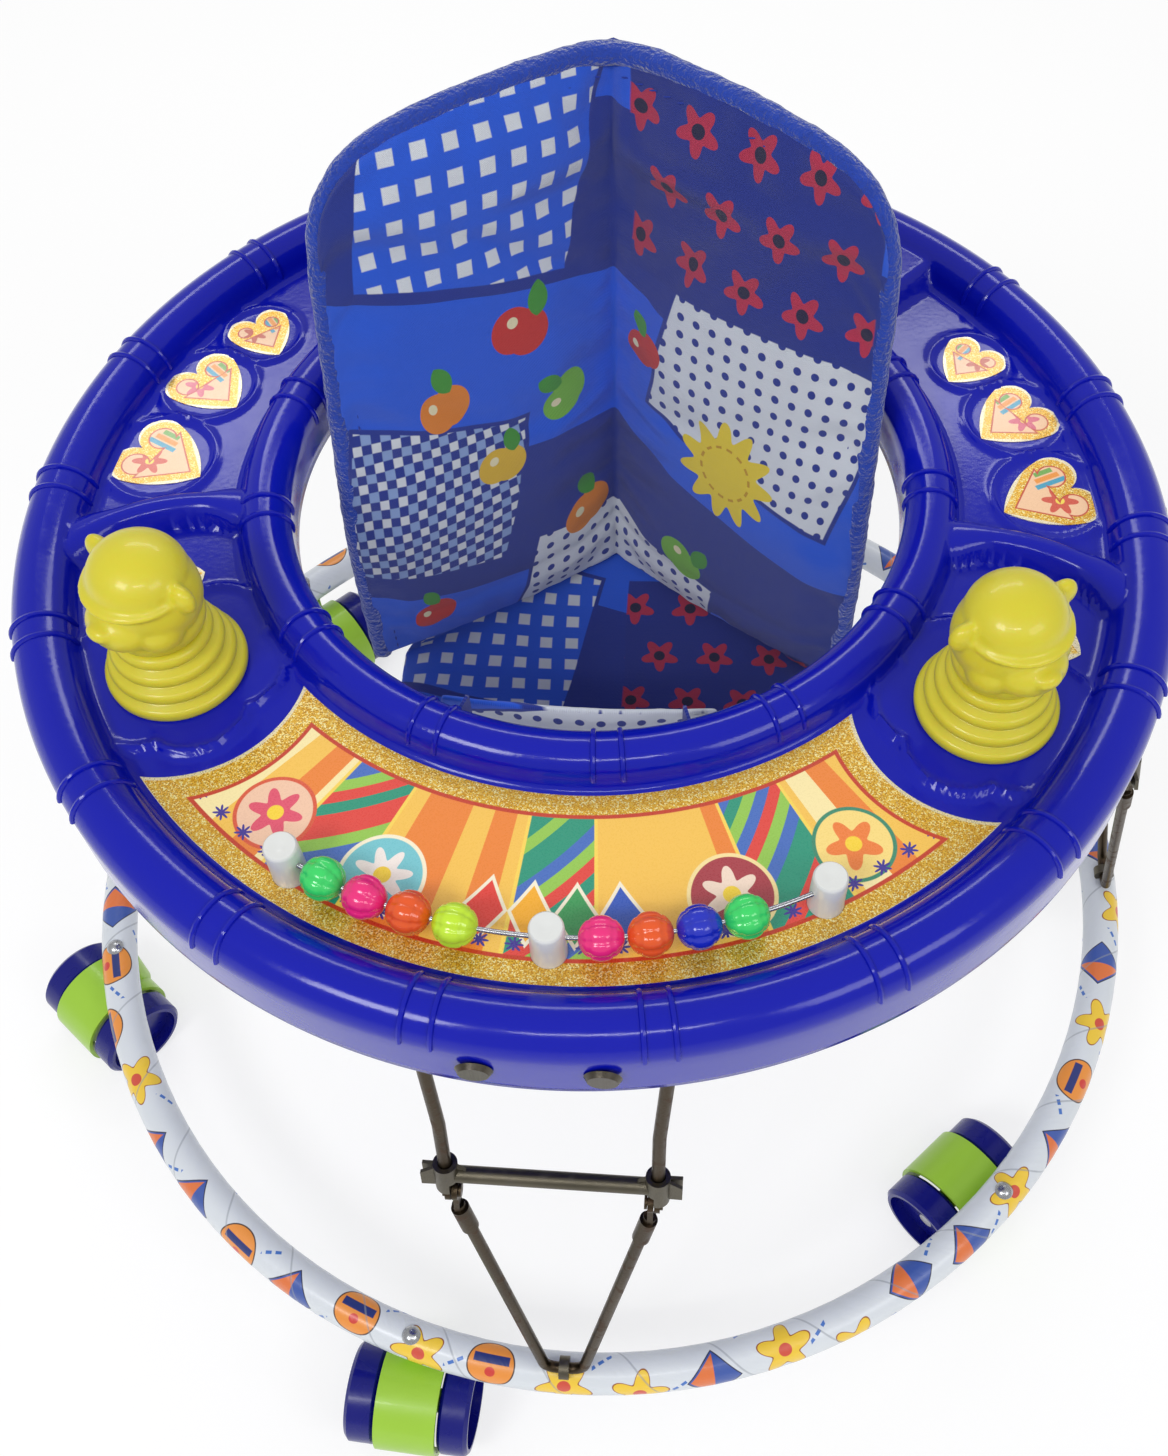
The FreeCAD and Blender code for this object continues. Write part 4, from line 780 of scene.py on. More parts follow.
# Tray
@dataclass
class Tray:
    """The moulded tray: skirt, two tube-like rims, sunken floor, rear shelf, dividers and pads."""

    radius: float = 250.0
    base: float = 352.0
    crown: float = 391.0
    rim: float = 13.0
    wall: float = 2.5
    floor: float = 376.0
    hole: float = 136.0
    hole_rim: float = 11.0
    hole_shift: float = 22.0
    hole_foot: float = 360.0
    shelf_angle: float = 137.0
    shelf: float = 386.0
    toy_ring: float = 187.0
    toy_angle: float = 62.0
    divider_reach: float = 83.0
    divider_width: float = 15.0
    divider_height: float = 11.0
    pad_height: float = 1.6
    columns: int = 640
    heart_ring: float = 202.0
    heart_rows: tuple[tuple[float, float], ...] = ((97.6, 40.0), (111.4, 36.0), (122.8, 30.0))

    def profile(self) -> list[tuple[float, float]]:
        """The closed cross-section, from the outer foot over the top to the hole and back.

        Returns:
            Points of radius and height, in millimetres.
        """
        rim_at, crown = self.radius - self.rim, self.crown - self.rim
        foot = self.radius - 2 * self.rim
        collar = self.hole + 2 * self.hole_rim
        hole_crown = self.crown - self.hole_rim
        top = [(self.radius - 0.5, self.base), (self.radius, self.base + 0.6),
               (self.radius, self.base + 4), (self.radius, self.base + 12),
               (self.radius, self.base + 20)]
        top += arc_points(rim_at, crown, self.rim, 0, 168, 18)
        top += [(foot - 0.6, self.floor + 2.6), (foot - 2.2, self.floor + 0.9),
                (foot - 4.5, self.floor)]
        inner = collar + 4.0
        count = 52
        top += [(foot - 4.5 + (inner - foot + 4.5) * step / count, self.floor)
                for step in range(1, count + 1)]
        top += [(collar + 1.8, self.floor + 0.9), (collar + 0.6, self.floor + 2.6)]
        top += arc_points(self.hole + self.hole_rim, hole_crown, self.hole_rim, 12, 180, 16)
        top += [(self.hole, hole_crown - 7), (self.hole, hole_crown - 14),
                (self.hole + 0.3, self.hole_foot + 0.5), (self.hole + 0.8, self.hole_foot)]
        under = [(self.hole + self.wall, self.hole_foot)]
        under += arc_points(self.hole + self.hole_rim, hole_crown, self.hole_rim - self.wall,
                            180, 0, 8)
        low = self.floor - self.wall
        under += [(collar - self.wall, low)]
        under += [(collar + (foot - collar) * step / 8, low) for step in range(0, 9)]
        under += [(foot + self.wall, low)]
        under += arc_points(rim_at, crown, self.rim - self.wall, 180, 0, 10)
        under += [(self.radius - self.wall, self.base)]
        return top + under

    def relief(self, x: float, y: float) -> float:
        """Height that the floor gains at a place, in millimetres, below the labels' edges.

        Args:
            x: Place across, in millimetres.
            y: Place from front to rear, in millimetres.

        Returns:
            Height above the sunken floor.
        """
        reach = math.hypot(x, y)
        angle = math.degrees(math.atan2(abs(x), -y))
        height = (self.shelf - self.floor) * smooth_step(-1.2, 1.2, angle - self.shelf_angle)
        toy = at_angle(self.toy_angle, self.toy_ring)
        dx, dy = abs(x) - toy.x, y - toy.y
        away = math.hypot(dx, dy)
        if away < 110 and dy > 0:
            across = abs(away - self.divider_reach)
            flare = 4.5 * smooth_step(18, 0, min(224 - reach, math.hypot(x, y - self.hole_shift) - 158))
            half = self.divider_width / 2 + max(0.0, flare)
            if across < half:
                share = across / half
                height = max(height, self.divider_height * (1 - share ** 2.6) ** 0.6)
        bearing = math.atan2(dy, dx)
        petal = 38.5 + 6.5 * abs(math.cos(3 * bearing)) ** 0.7
        height = max(height, self.pad_height * smooth_step(petal + 1.3, petal - 1.3, away))
        height += 2.4 * math.exp(-((away - petal) / 1.7) ** 2) if away < 60 else 0.0
        for row, width in self.heart_rows:
            place = at_angle(row, self.heart_ring)
            span = math.hypot(abs(x) - place.x, y - place.y)
            ring = width * 0.63
            height += 1.5 * math.exp(-((span - ring) / 1.5) ** 2) if span < ring + 7 else 0.0
        return height

    def shift(self, reach: float) -> float:
        """How far a ring of the floor has moved towards the hole's centre."""
        foot = self.radius - 2 * self.rim
        collar = self.hole + 2 * self.hole_rim
        return self.hole_shift * min(1.0, max(0.0, (foot - reach) / (foot - collar)))

    def build(self, finish: Finish) -> bpy.types.Object:
        """Makes the shell, moves its hole off centre and raises its floor forms.

        Args:
            finish: Its finish.

        Returns:
            The tray.
        """
        mesh = bmesh.new()
        edges = outline(mesh, self.profile(), closed=True)
        revolve(mesh, edges, self.columns)
        bmesh.ops.remove_doubles(mesh, verts=mesh.verts, dist=0.00001)
        low = self.floor - self.wall - 0.2
        foot, collar = self.radius - 2 * self.rim, self.hole + 2 * self.hole_rim
        for dot in mesh.verts:
            x, y, z = (part / MM for part in dot.co)
            reach = math.hypot(x, y)
            y += self.shift(reach)
            if z > self.floor - 0.5 and collar - 2.4 < reach < foot + 2.0:
                z = max(z, self.floor + self.relief(x, y))
            elif low < z < self.floor and collar - self.wall - 0.5 < reach < foot + self.wall + 0.5:
                z += max(0.0, self.relief(x, y) - 0.6)
            dot.co = Vector((x, y, z)) * MM
        return new_piece("tray_moulding", mesh, "tray", finish, smooth=60)


@dataclass
class RimBands:
    """Pairs of thin moulded ridges across both rims, like the joints of a cane."""

    tray: Tray
    ridge: float = 1.15
    outer_count: int = 18
    inner_count: int = 13
    gap: float = 11.0

    def ridges(self, mesh: bmesh.types.BMesh, ring: float, tube: float, crown: float, shift: float,
               count: int, start: float) -> None:
        """Adds the ridges of one rim.

        Args:
            mesh: The bmesh to add to.
            ring: Radius of the rim's centre line.
            tube: Radius of the rim's round top.
            crown: Height of that round's centre.
            shift: How far the rim's centre lies towards the rear.
            count: Number of pairs.
            start: Angle of the first pair, in degrees.
        """
        for index in range(count):
            middle = start + 360.0 * index / count
            for side in (-1, 1):
                angle = middle + side * math.degrees(self.gap / 2 / ring)
                place = at_angle(angle, ring) + Vector((0, shift, crown))
                out = at_angle(angle, 1.0)
                along = Vector((-out.y, out.x, 0))
                begin = math.radians(-6)
                turn = Matrix.Rotation(-begin, 4, along)
                first = bmesh.ops.create_circle(mesh, segments=8, radius=self.ridge * MM)
                frame = Matrix((out, along, Vector((0, 0, 1)))).transposed().to_4x4()
                tip = turn.inverted() @ (out * (tube + 0.1))
                move = Matrix.Translation((place + tip) * MM) @ frame
                bmesh.ops.transform(mesh, matrix=move, verts=first["verts"])
                rim_edges = list({edge for dot in first["verts"] for edge in dot.link_edges})
                bmesh.ops.spin(mesh, geom=first["verts"] + rim_edges, cent=place * MM, axis=along,
                               dvec=(0, 0, 0), angle=-math.radians(192), steps=20)

    def build(self, finish: Finish) -> bpy.types.Object:
        """Makes the ridges of both rims as one piece.

        Args:
            finish: Its finish.

        Returns:
            The ridges.
        """
        mesh = bmesh.new()
        tray = self.tray
        self.ridges(mesh, tray.radius - tray.rim, tray.rim, tray.crown - tray.rim, 0.0,
                    self.outer_count, 10.0)
        self.ridges(mesh, tray.hole + tray.hole_rim, tray.hole_rim, tray.crown - tray.hole_rim,
                    tray.hole_shift, self.inner_count, 6.0)
        return new_piece("tray_rim_bands", mesh, "tray", finish)


# Printed labels
@dataclass(frozen=True)
class FrontLabel(GoldLabel):
    """The long label between the toys: rays, discs, stars and stripes in a gold frame."""

    name: str = "front label print"

    def edge(self, surface: Surface, x: Term, y: Term) -> Term:
        """Distance to the nearest of the label's four sides."""
        reach = (x * x + y * y).call("SQRT")
        hole = surface.disc(x, y, 0.0, 0.022, 0.160)
        toy = at_angle(62.0, 0.187)
        beside = surface.disc(abs(x), y, toy.x, toy.y, 0.054)
        return (0.221 - reach).min(hole).min(beside)

    def lines(self) -> tuple[float, float, float]:
        """A wide gold band."""
        return 0.0014, 0.0105, 0.0122

    def picture(self, surface: Surface, x: Term, y: Term) -> bpy.types.NodeSocket:
        """Rays and striped panels behind a row of round badges."""
        angle = x.call("ARCTAN2", -y)
        along = angle * 0.195
        across = (x * x + y * y).call("SQRT") - 0.191
        fan = surface.chance((angle * 17.0).call("FLOOR"), 3.0)
        colour = surface.mix(fan.call("GREATER_THAN", 0.5), linear((246, 196, 84)),
                             linear((238, 134, 52)))
        colour = surface.mix(fan.call("GREATER_THAN", 0.78), colour, linear((250, 232, 170)))
        slope = along * 0.82 + across * 0.9
        stripe = slope.cell(0.0062)
        pick = surface.chance(stripe, 9.0)
        bars = surface.mix(pick.call("GREATER_THAN", 0.33), linear((38, 150, 120)),
                           linear((70, 110, 190)))
        bars = surface.mix(pick.call("GREATER_THAN", 0.6), bars, linear((226, 70, 60)))
        bars = surface.mix(pick.call("GREATER_THAN", 0.8), bars, linear((150, 200, 80)))
        panel = (abs(along.wrap(0.094)) - 0.0165).inside(0.0003)
        colour = surface.mix(panel, colour, bars)
        edge = (abs(abs(along.wrap(0.094)) - 0.0165) - 0.0008).inside(0.0003)
        colour = surface.mix(edge, colour, linear((250, 214, 90)))
        for offset, radius, ground, ring, petals, inner in self.badges():
            near, far = along - offset, across + 0.0005
            rim = surface.disc(near, far, 0.0, 0.0, radius)
            colour = surface.mix(rim.inside(), colour, linear(ring))
            colour = surface.mix((rim + 0.0016).inside(), colour, linear(ground))
            flower = surface.bloom(near, far, radius * 0.52, radius * 0.17, petals, 0.4)
            colour = surface.mix(flower.inside(), colour, linear(inner))
            heart = surface.disc(near, far, 0.0, 0.0, radius * 0.2)
            colour = surface.mix(heart.inside(), colour, linear((250, 214, 60)))
        for index, shade in enumerate(((232, 64, 54), (246, 176, 40), (60, 160, 90), (50, 90, 190))):
            near, far = along - (index - 1.5) * 0.0175, across - 0.0005
            kite = abs(near) + abs(far) * 0.62 - 0.0088
            colour = surface.mix(kite.inside(), colour, linear((248, 240, 214)))
            colour = surface.mix((kite + 0.0016).inside(), colour, linear(shade))
        low = abs(across - 0.0125) - 0.0035
        spot = surface.bloom(along.wrap(0.0125), across - 0.0135, 0.0024, 0.0011, 8)
        return surface.mix(spot.inside() * low.inside(), colour, linear((64, 50, 150)))

    @staticmethod
    def badges() -> tuple[tuple[float, float, Colour, Colour, int, Colour], ...]:
        """Place, radius, ground, ring, petals and flower colour of each badge.

        Returns:
            One row for each badge.
        """
        return ((-0.156, 0.0125, (96, 60, 150), (246, 240, 220), 5, (250, 246, 240)),
                (-0.122, 0.0165, (244, 200, 170), (220, 90, 60), 6, (226, 84, 110)),
                (-0.069, 0.0175, (120, 200, 210), (250, 240, 210), 7, (246, 236, 230)),
                (0.069, 0.0175, (170, 60, 70), (250, 226, 160), 6, (246, 220, 200)),
                (0.122, 0.0165, (250, 220, 130), (60, 140, 110), 5, (240, 130, 60)),
                (0.156, 0.0125, (60, 90, 190), (246, 240, 220), 6, (246, 200, 60)))


@dataclass(frozen=True)
class HeartLabel(GoldLabel):
    """Six heart labels: gold frame, pale ground, a flower and small stripes."""

    name: str = "heart label print"
    ring: float = 0.202
    tilt: float = 20.0
    rows: tuple[tuple[float, float], ...] = ((97.6, 0.040), (111.4, 0.036), (122.8, 0.030))

    def hearts(self, surface: Surface, x: Term, y: Term) -> list[tuple[Term, Term, float]]:
        """Each heart's own coordinates, tip upwards, and a quarter of its width.

        Args:
            surface: The material's nodes.
            x: Place across.
            y: Place from front to rear.

        Returns:
            One row for each pair of hearts.
        """
        found = []
        for angle, width in self.rows:
            place = at_angle(angle, self.ring)
            across, along = surface.turned(abs(x), y, place.x, place.y,
                                           math.radians(angle + self.tilt))
            found.append((across, along, width / 4))
        return found

    def field(self, surface: Surface, across: Term, along: Term, lobe: float) -> Term:
        """Distance to a heart's edge: two round lobes over a point.

        Args:
            surface: The material's nodes.
            across: Place across the heart.
            along: Place towards its tip.
            lobe: A quarter of its width.

        Returns:
            The distance, in metres.
        """
        side = abs(across)
        round_part = surface.disc(side, along, lobe * 0.93, -lobe * 0.72, lobe * 1.12)
        flank = side * 0.771 + along * 0.637 - lobe * 1.58
        point = flank.max(along * -1.0 - lobe * 0.75)
        return round_part.min(point)

    def edge(self, surface: Surface, x: Term, y: Term) -> Term:
        """Distance inwards from the nearest heart's edge."""
        fields = [self.field(surface, *heart) for heart in self.hearts(surface, x, y)]
        return fields[0].min(fields[1]).min(fields[2]) * -1.0

    def lines(self) -> tuple[float, float, float]:
        """A narrower frame."""
        return 0.0009, 0.0046, 0.0053

    def picture(self, surface: Surface, x: Term, y: Term) -> bpy.types.NodeSocket:
        """A flower beside a stripe of colour, on a cream ground."""
        colour: object = linear((248, 202, 158))
        for (across, along, lobe), flower in zip(self.hearts(surface, x, y),
                                                 ((214, 84, 60), (220, 96, 120), (196, 80, 50))):
            bloom = surface.bloom(across + lobe * 0.45, along + lobe * 0.3, lobe * 0.62, lobe * 0.2, 6)
            colour = surface.mix(bloom.inside(), colour, linear(flower))
            eye = surface.disc(across, along, -lobe * 0.45, -lobe * 0.3, lobe * 0.2)
            colour = surface.mix(eye.inside(), colour, linear((250, 220, 80)))
            for step, shade in enumerate(((60, 160, 190), (240, 150, 50), (110, 170, 70))):
                bar = surface.block(across, along, lobe * (0.62 + 0.34 * step), -lobe * 0.5,
                                    lobe * 0.13, lobe * (0.75 - 0.15 * step))
                colour = surface.mix(bar.inside(), colour, linear(shade))
        return colour


@dataclass(frozen=True)
class ToyLabel(GoldLabel):
    """The label beside each toy's foot: mostly its gold frame, with a leaf pattern."""

    name: str = "toy label print"

    def edge(self, surface: Surface, x: Term, y: Term) -> Term:
        """Distance inwards from the label's rounded outline."""
        out = at_angle(62.0, 1.0)
        toy = at_angle(62.0, 0.187)
        along = Vector((-out.y, out.x, 0))
        middle = toy + along * 0.044
        side, depth = surface.turned(abs(x), y, middle.x, middle.y, math.atan2(along.y, along.x))
        return ((abs(side) / 0.0155) + (abs(depth) / 0.0235) - 1.0) * -0.0128

    def lines(self) -> tuple[float, float, float]:
        """A frame over half of the label."""
        return 0.0007, 0.0062, 0.0068

    def picture(self, surface: Surface, x: Term, y: Term) -> bpy.types.NodeSocket:
        """Small leaves and spots."""
        spot = surface.disc(x.wrap(0.006), y.wrap(0.006), 0.0, 0.0, 0.0016)
        pick = surface.chance(x.cell(0.006), y.cell(0.006))
        colour = surface.mix(pick.call("GREATER_THAN", 0.5), linear((60, 160, 130)),
                             linear((214, 84, 60)))
        return surface.mix(spot.inside(), linear((250, 232, 200)), colour)


# Bead rail
@dataclass
class BeadRail:
    """Three moulded posts and eight melon-ribbed beads on two bent wires."""

    ring: float = 206.0
    floor: float = 376.05
    lift: float = 12.45
    post_angle: float = 29.3
    post_radius: float = 7.0
    post_height: float = 21.0
    bead_radius: float = 8.5
    pitch: float = 4.95
    first_left: float = -24.3
    first_right: float = 5.4
    lobes: int = 7
    wire_radius: float = 1.0
    wire_inset: float = 1.36

    def build_posts(self, finish: Finish) -> bpy.types.Object:
        """Posts with a rounded shoulder and a shallow dimple on top.

        Args:
            finish: Its finish.

        Returns:
            The posts.
        """
        mesh = bmesh.new()
        radius, top = self.post_radius, self.post_height
        line = [(0.0, 0.0), (radius, 0.0), (radius, 1.0), (radius * 0.985, 2.0),
                (radius * 0.96, top * 0.6), (radius * 0.94, top - 1.4), (radius * 0.9, top - 0.5),
                (radius * 0.83, top), (radius * 0.4, top), (radius * 0.26, top - 0.3),
                (0.0, top - 0.4)]
        for angle in (-self.post_angle, 0.0, self.post_angle):
            place = at_angle(angle, self.ring) + Vector((0, 0, self.floor))
            part = bmesh.new()
            revolve(part, outline(part, line), 40)
            join_part(mesh, part, Matrix.Translation(place * MM))
        piece = new_piece("bead_post_mouldings", mesh, "tray", finish)
        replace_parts(piece, "bead_posts")
        return piece

    def build_wires(self, finish: Finish) -> bpy.types.Object:
        """Two round wires bent along the row, each from one post into the next.

        Args:
            finish: Its finish.

        Returns:
            The wires.
        """
        mesh = bmesh.new()
        stand = Matrix.Translation(Vector((0, -self.ring, self.floor + self.lift)) * MM)
        span = math.radians(self.post_angle - 2 * self.wire_inset)
        for start in (-self.post_angle, 0.0):
            part = bmesh.new()
            bmesh.ops.create_circle(part, cap_ends=True, segments=20, radius=self.wire_radius * MM,
                                    matrix=stand @ Matrix.Rotation(math.radians(90), 4, "Y"))
            bmesh.ops.spin(part, geom=part.verts[:] + part.edges[:] + part.faces[:],
                           cent=(0, 0, 0), axis=(0, 0, 1), angle=span, steps=36)
            heading = Matrix.Rotation(math.radians(start + self.wire_inset), 4, "Z")
            join_part(mesh, part, heading)
        piece = new_piece("bead_rail_wires", mesh, "tray", finish)
        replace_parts(piece, "bead_wires")
        return piece

    def build_bead(self, node: str, angle: float, finish: Finish) -> bpy.types.Object:
        """One bead: a ball pressed into lobes, with a collar where the wire leaves it.

        Args:
            node: The bead's node and body.
            angle: Its place along the row, in degrees.
            finish: Its finish.

        Returns:
            The bead.
        """
        mesh = bmesh.new()
        radius = self.bead_radius
        bmesh.ops.create_uvsphere(mesh, u_segments=56, v_segments=28, radius=radius * MM)
        for dot in mesh.verts:
            bearing = math.atan2(dot.co.y, dot.co.x)
            level = dot.co.z / (radius * MM)
            groove = abs(math.cos(bearing * self.lobes / 2)) ** 0.55
            ring = 0.045 * math.exp(-((abs(level) - 0.52) / 0.06) ** 2)
            shrink = 0.10 * (1 - groove) * (1 - level ** 4)
            dot.co *= 1 - shrink - ring
        turn = Matrix.Rotation(math.radians(90), 4, "Y")
        heading = Matrix.Rotation(math.radians(angle), 4, "Z")
        roll = Matrix.Rotation(math.radians(angle * 7.0), 4, "X")
        place = at_angle(angle, self.ring) + Vector((0, 0, self.floor + self.lift - 0.05))
        move = Matrix.Translation(place * MM) @ heading @ roll @ turn
        bmesh.ops.transform(mesh, matrix=move, verts=mesh.verts)
        piece = new_piece(node + "_lobed", mesh, node, finish, smooth=75)
        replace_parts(piece, node)
        return piece

    def build_beads(self) -> None:
        """Both rows, each in its own colours."""
        rows = {"left": (self.first_left, ("green", "pink", "orange", "lime")),
                "right": (self.first_right, ("pink", "orange", "blue", "green"))}
        for side, (first, names) in rows.items():
            for index, name in enumerate(names):
                self.build_bead(f"bead_{side}_{index + 1}", first + index * self.pitch,
                                BEAD_FINISHES[name])


# Squeeze toys
@dataclass
class SqueezeToy:
    """A soft yellow toy: a ribbed foot that squashes and a plain cub's head."""

    index: int
    side: int
    ring: float = 187.0
    angle: float = 62.0
    floor: float = 376.05
    base_radius: float = 29.0
    neck_radius: float = 17.0
    ribs: int = 4
    rib_depth: float = 3.4
    foot_height: float = 30.0
    head_radius: float = 24.0
    head_height: float = 46.0

    def centre(self) -> Vector:
        """Where the toy stands on the floor, in millimetres."""
        return at_angle(self.side * self.angle, self.ring)

    def build_foot(self, finish: Finish) -> bpy.types.Object:
        """Ribs that narrow upwards, each with a soft groove under it.

        Args:
            finish: Its finish.

        Returns:
            The foot.
        """
        line = [(0.0, 0.4), (self.base_radius - self.rib_depth, 0.4),
                (self.base_radius - self.rib_depth + 0.4, 0.0)]
        step = self.foot_height / self.ribs
        for rib in range(self.ribs):
            reach = self.base_radius - (self.base_radius - self.neck_radius) * rib / self.ribs
            middle = rib * step + step * 0.5
            line += arc_points(reach - self.rib_depth * 0.95, middle, step * 0.46, -62, 62, 7)
            line.append((reach - self.rib_depth * 1.15, (rib + 1) * step))
        line += [(self.neck_radius - self.rib_depth, self.foot_height), (0.0, self.foot_height)]
        line = [(max(0.0, min(radius, self.base_radius)), height) for radius, height in line]
        mesh = bmesh.new()
        revolve(mesh, outline(mesh, line), 72)
        bmesh.ops.remove_doubles(mesh, verts=mesh.verts, dist=0.00002)
        place = self.centre() + Vector((0, 0, self.floor))
        bmesh.ops.translate(mesh, vec=place * MM, verts=mesh.verts)
        piece = new_piece(f"toy_foot_{self.index}", mesh, "tray", finish, smooth=80)
        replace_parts(piece, f"toy_bellows_{self.index}")
        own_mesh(piece)
        return piece

    def ball(self, mesh: bmesh.types.BMesh, radius: float, centre: tuple[float, float, float],
             stretch: tuple[float, float, float]) -> None:
        """Adds one egg to the head, in the head's own frame."""
        made = bmesh.ops.create_uvsphere(mesh, u_segments=32, v_segments=20, radius=radius)
        bmesh.ops.scale(mesh, vec=stretch, verts=made["verts"])
        bmesh.ops.translate(mesh, vec=centre, verts=made["verts"])

    def build_head(self, finish: Finish) -> bpy.types.Object:
        """A cub's head with round ears, a snout, cheeks and a domed cap over a soft brim.

        Args:
            finish: Its finish.

        Returns:
            The head.
        """
        radius, tall = self.head_radius, self.head_height
        mesh = bmesh.new()
        shoulder = outline(mesh, [(0, 0.2), (17, 0.2), (19.2, 2.5), (19.8, 6.0), (17.6, 10.0),
                                  (14.0, 15.0), (0, 15.5)], scale=1.0)
        revolve(mesh, shoulder, 48)
        middle = tall * 0.46
        parts = [(0.97, (0, 0, 0), (1.0, 0.9, 0.84)), (0.5, (0, -0.62, -0.2), (1.25, 0.98, 0.82)),
                 (0.19, (0, -1.04, -0.04), (1.3, 0.8, 0.8)), (0.83, (0, 0, 0.4), (1.0, 0.98, 0.74)),
                 (0.92, (0, -0.08, 0.33), (1.0, 0.99, 0.17))]
        for side in (-1, 1):
            parts += [(0.42, (side * 0.5, -0.32, -0.32), (1, 1, 0.9)),
                      (0.28, (side * 0.92, 0.04, 0.36), (0.95, 0.6, 1.0))]
        for share, centre, stretch in parts:
            at = Vector(centre) * radius + Vector((0, 0, middle))
            self.ball(mesh, radius * share, tuple(at), stretch)
        place = self.centre() + Vector((0, 0, self.floor + self.foot_height + 0.05))
        turn = Matrix.Rotation(math.radians(self.side * self.angle / 2), 4, "Z")
        move = Matrix.Scale(MM, 4) @ Matrix.Translation(place) @ turn
        bmesh.ops.transform(mesh, matrix=move, verts=mesh.verts)
        body = "toy_left" if self.side < 0 else "toy_right"
        piece = new_piece(f"toy_cub_{self.index}", mesh, body, finish, smooth=180)
        remeshed(piece, 0.0009, 9, 0.7)
        for face in piece.data.polygons:
            face.use_smooth = True
        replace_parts(piece, f"toy_head_{self.index}")
        return piece


# Floor ring
@dataclass(frozen=True)
class PrintedTape(Finish):
    """White tape wound round the ring, with scattered prints and pressed-down wrinkles."""

    name: str = "printed wrapping tape"
    ring: float = 0.296
    height: float = 0.066
    tube: float = 0.0101
    wind: float = 0.047

    def write(self, surface: Surface, shader: bpy.types.Node) -> None:
        """Unrolls the ring into a flat strip and prints on it."""
        x, y, z = surface.places()
        along = x.call("ARCTAN2", -y) * self.ring
        reach = (x * x + y * y).call("SQRT") - self.ring
        round_it = (z - self.height).call("ARCTAN2", reach)
        around = round_it * self.tube
        spiral = along + round_it * (self.wind / TAU)
        seam = abs(spiral.wrap(self.wind))
        lap = (seam - 0.0006).inside(0.0005)
        tilt = 0.6
        u = along * math.cos(tilt) + around * math.sin(tilt)
        v = around * math.cos(tilt) - along * math.sin(tilt)
        colour: object = linear((226, 231, 236))
        soft = surface.noise(30.0, 3.0)
        colour = surface.mix(soft * 0.35, colour, linear((196, 204, 214)))
        cell = along.cell(0.037)
        lane = along.wrap(0.037)
        pick = surface.chance(cell, 2.0)
        turn = surface.chance(cell, 7.0) * 5.0
        side = (surface.chance(cell, 5.0) - 0.5) * 0.022
        near, far = lane, around - side - 0.008
        head = surface.disc(near, far, 0.0, 0.0, 0.0116)
        star = surface.bloom(near, far, 0.0106, 0.0036, 5, turn)
        kite = abs(near) * 0.9 + abs(far) * 0.8 - 0.0118
        first = pick.call("LESS_THAN", 0.36)
        second = pick.call("GREATER_THAN", 0.68)
        colour = self.stamp(surface, colour, head, first, (240, 150, 60), (60, 40, 40))
        band = surface.block(near, far, 0.0, 0.0028, 0.0092, 0.0022).max(head + 0.0008)
        colour = surface.mix(band.inside() * first, colour, linear((34, 50, 120)))
        dot = surface.disc(near, far, 0.0, -0.0036, 0.0026)
        colour = surface.mix(dot.inside() * first, colour, linear((214, 60, 50)))
        colour = self.stamp(surface, colour, star, second, (246, 206, 60), (150, 70, 30))
        colour = surface.mix(surface.disc(near, far, 0.0, 0.0, 0.0034).inside() * second, colour,
                             linear((214, 80, 60)))
        third = (1.0 - first) * (1.0 - second)
        colour = self.stamp(surface, colour, kite, third, (60, 90, 170), (30, 30, 60))
        half = (kite + 0.001).max(near)
        colour = surface.mix(half.inside() * third, colour, linear((230, 120, 60)))
        dash = surface.block(u.wrap(0.0052), (v - 0.006).wrap(0.034), 0.0, 0.0, 0.0016, 0.0009)
        clear = (0.0135 - abs(lane)).inside(0.0004)
        colour = surface.mix(dash.inside(0.0002) * clear, colour, linear((70, 120, 200)))
        colour = surface.mix(lap * 0.5, colour, linear((150, 156, 166)))
        surface.feed(shader.inputs["Base Color"], colour)
        surface.feed(shader.inputs["Roughness"], soft * 0.2 + 0.28)
        shader.inputs["Coat Weight"].default_value = 0.35
        shader.inputs["Coat Roughness"].default_value = 0.2
        pull = surface.noise(1.0, 3.0, surface.vector(spiral * 210.0, around * 60.0, 0.0), 0.5)
        step = (spiral / self.wind).call("FRACT")
        self.bump(surface, shader, pull * 0.55 + step * 0.9, 0.0007)

    @staticmethod
    def stamp(surface: Surface, colour: object, shape: Term, where: Term, fill: Colour,
              line: Colour) -> object:
        """Prints one outlined shape in the cells where it belongs."""
        colour = surface.mix((shape - 0.0007).inside() * where, colour, linear(line))
        return surface.mix(shape.inside() * where, colour, linear(fill))


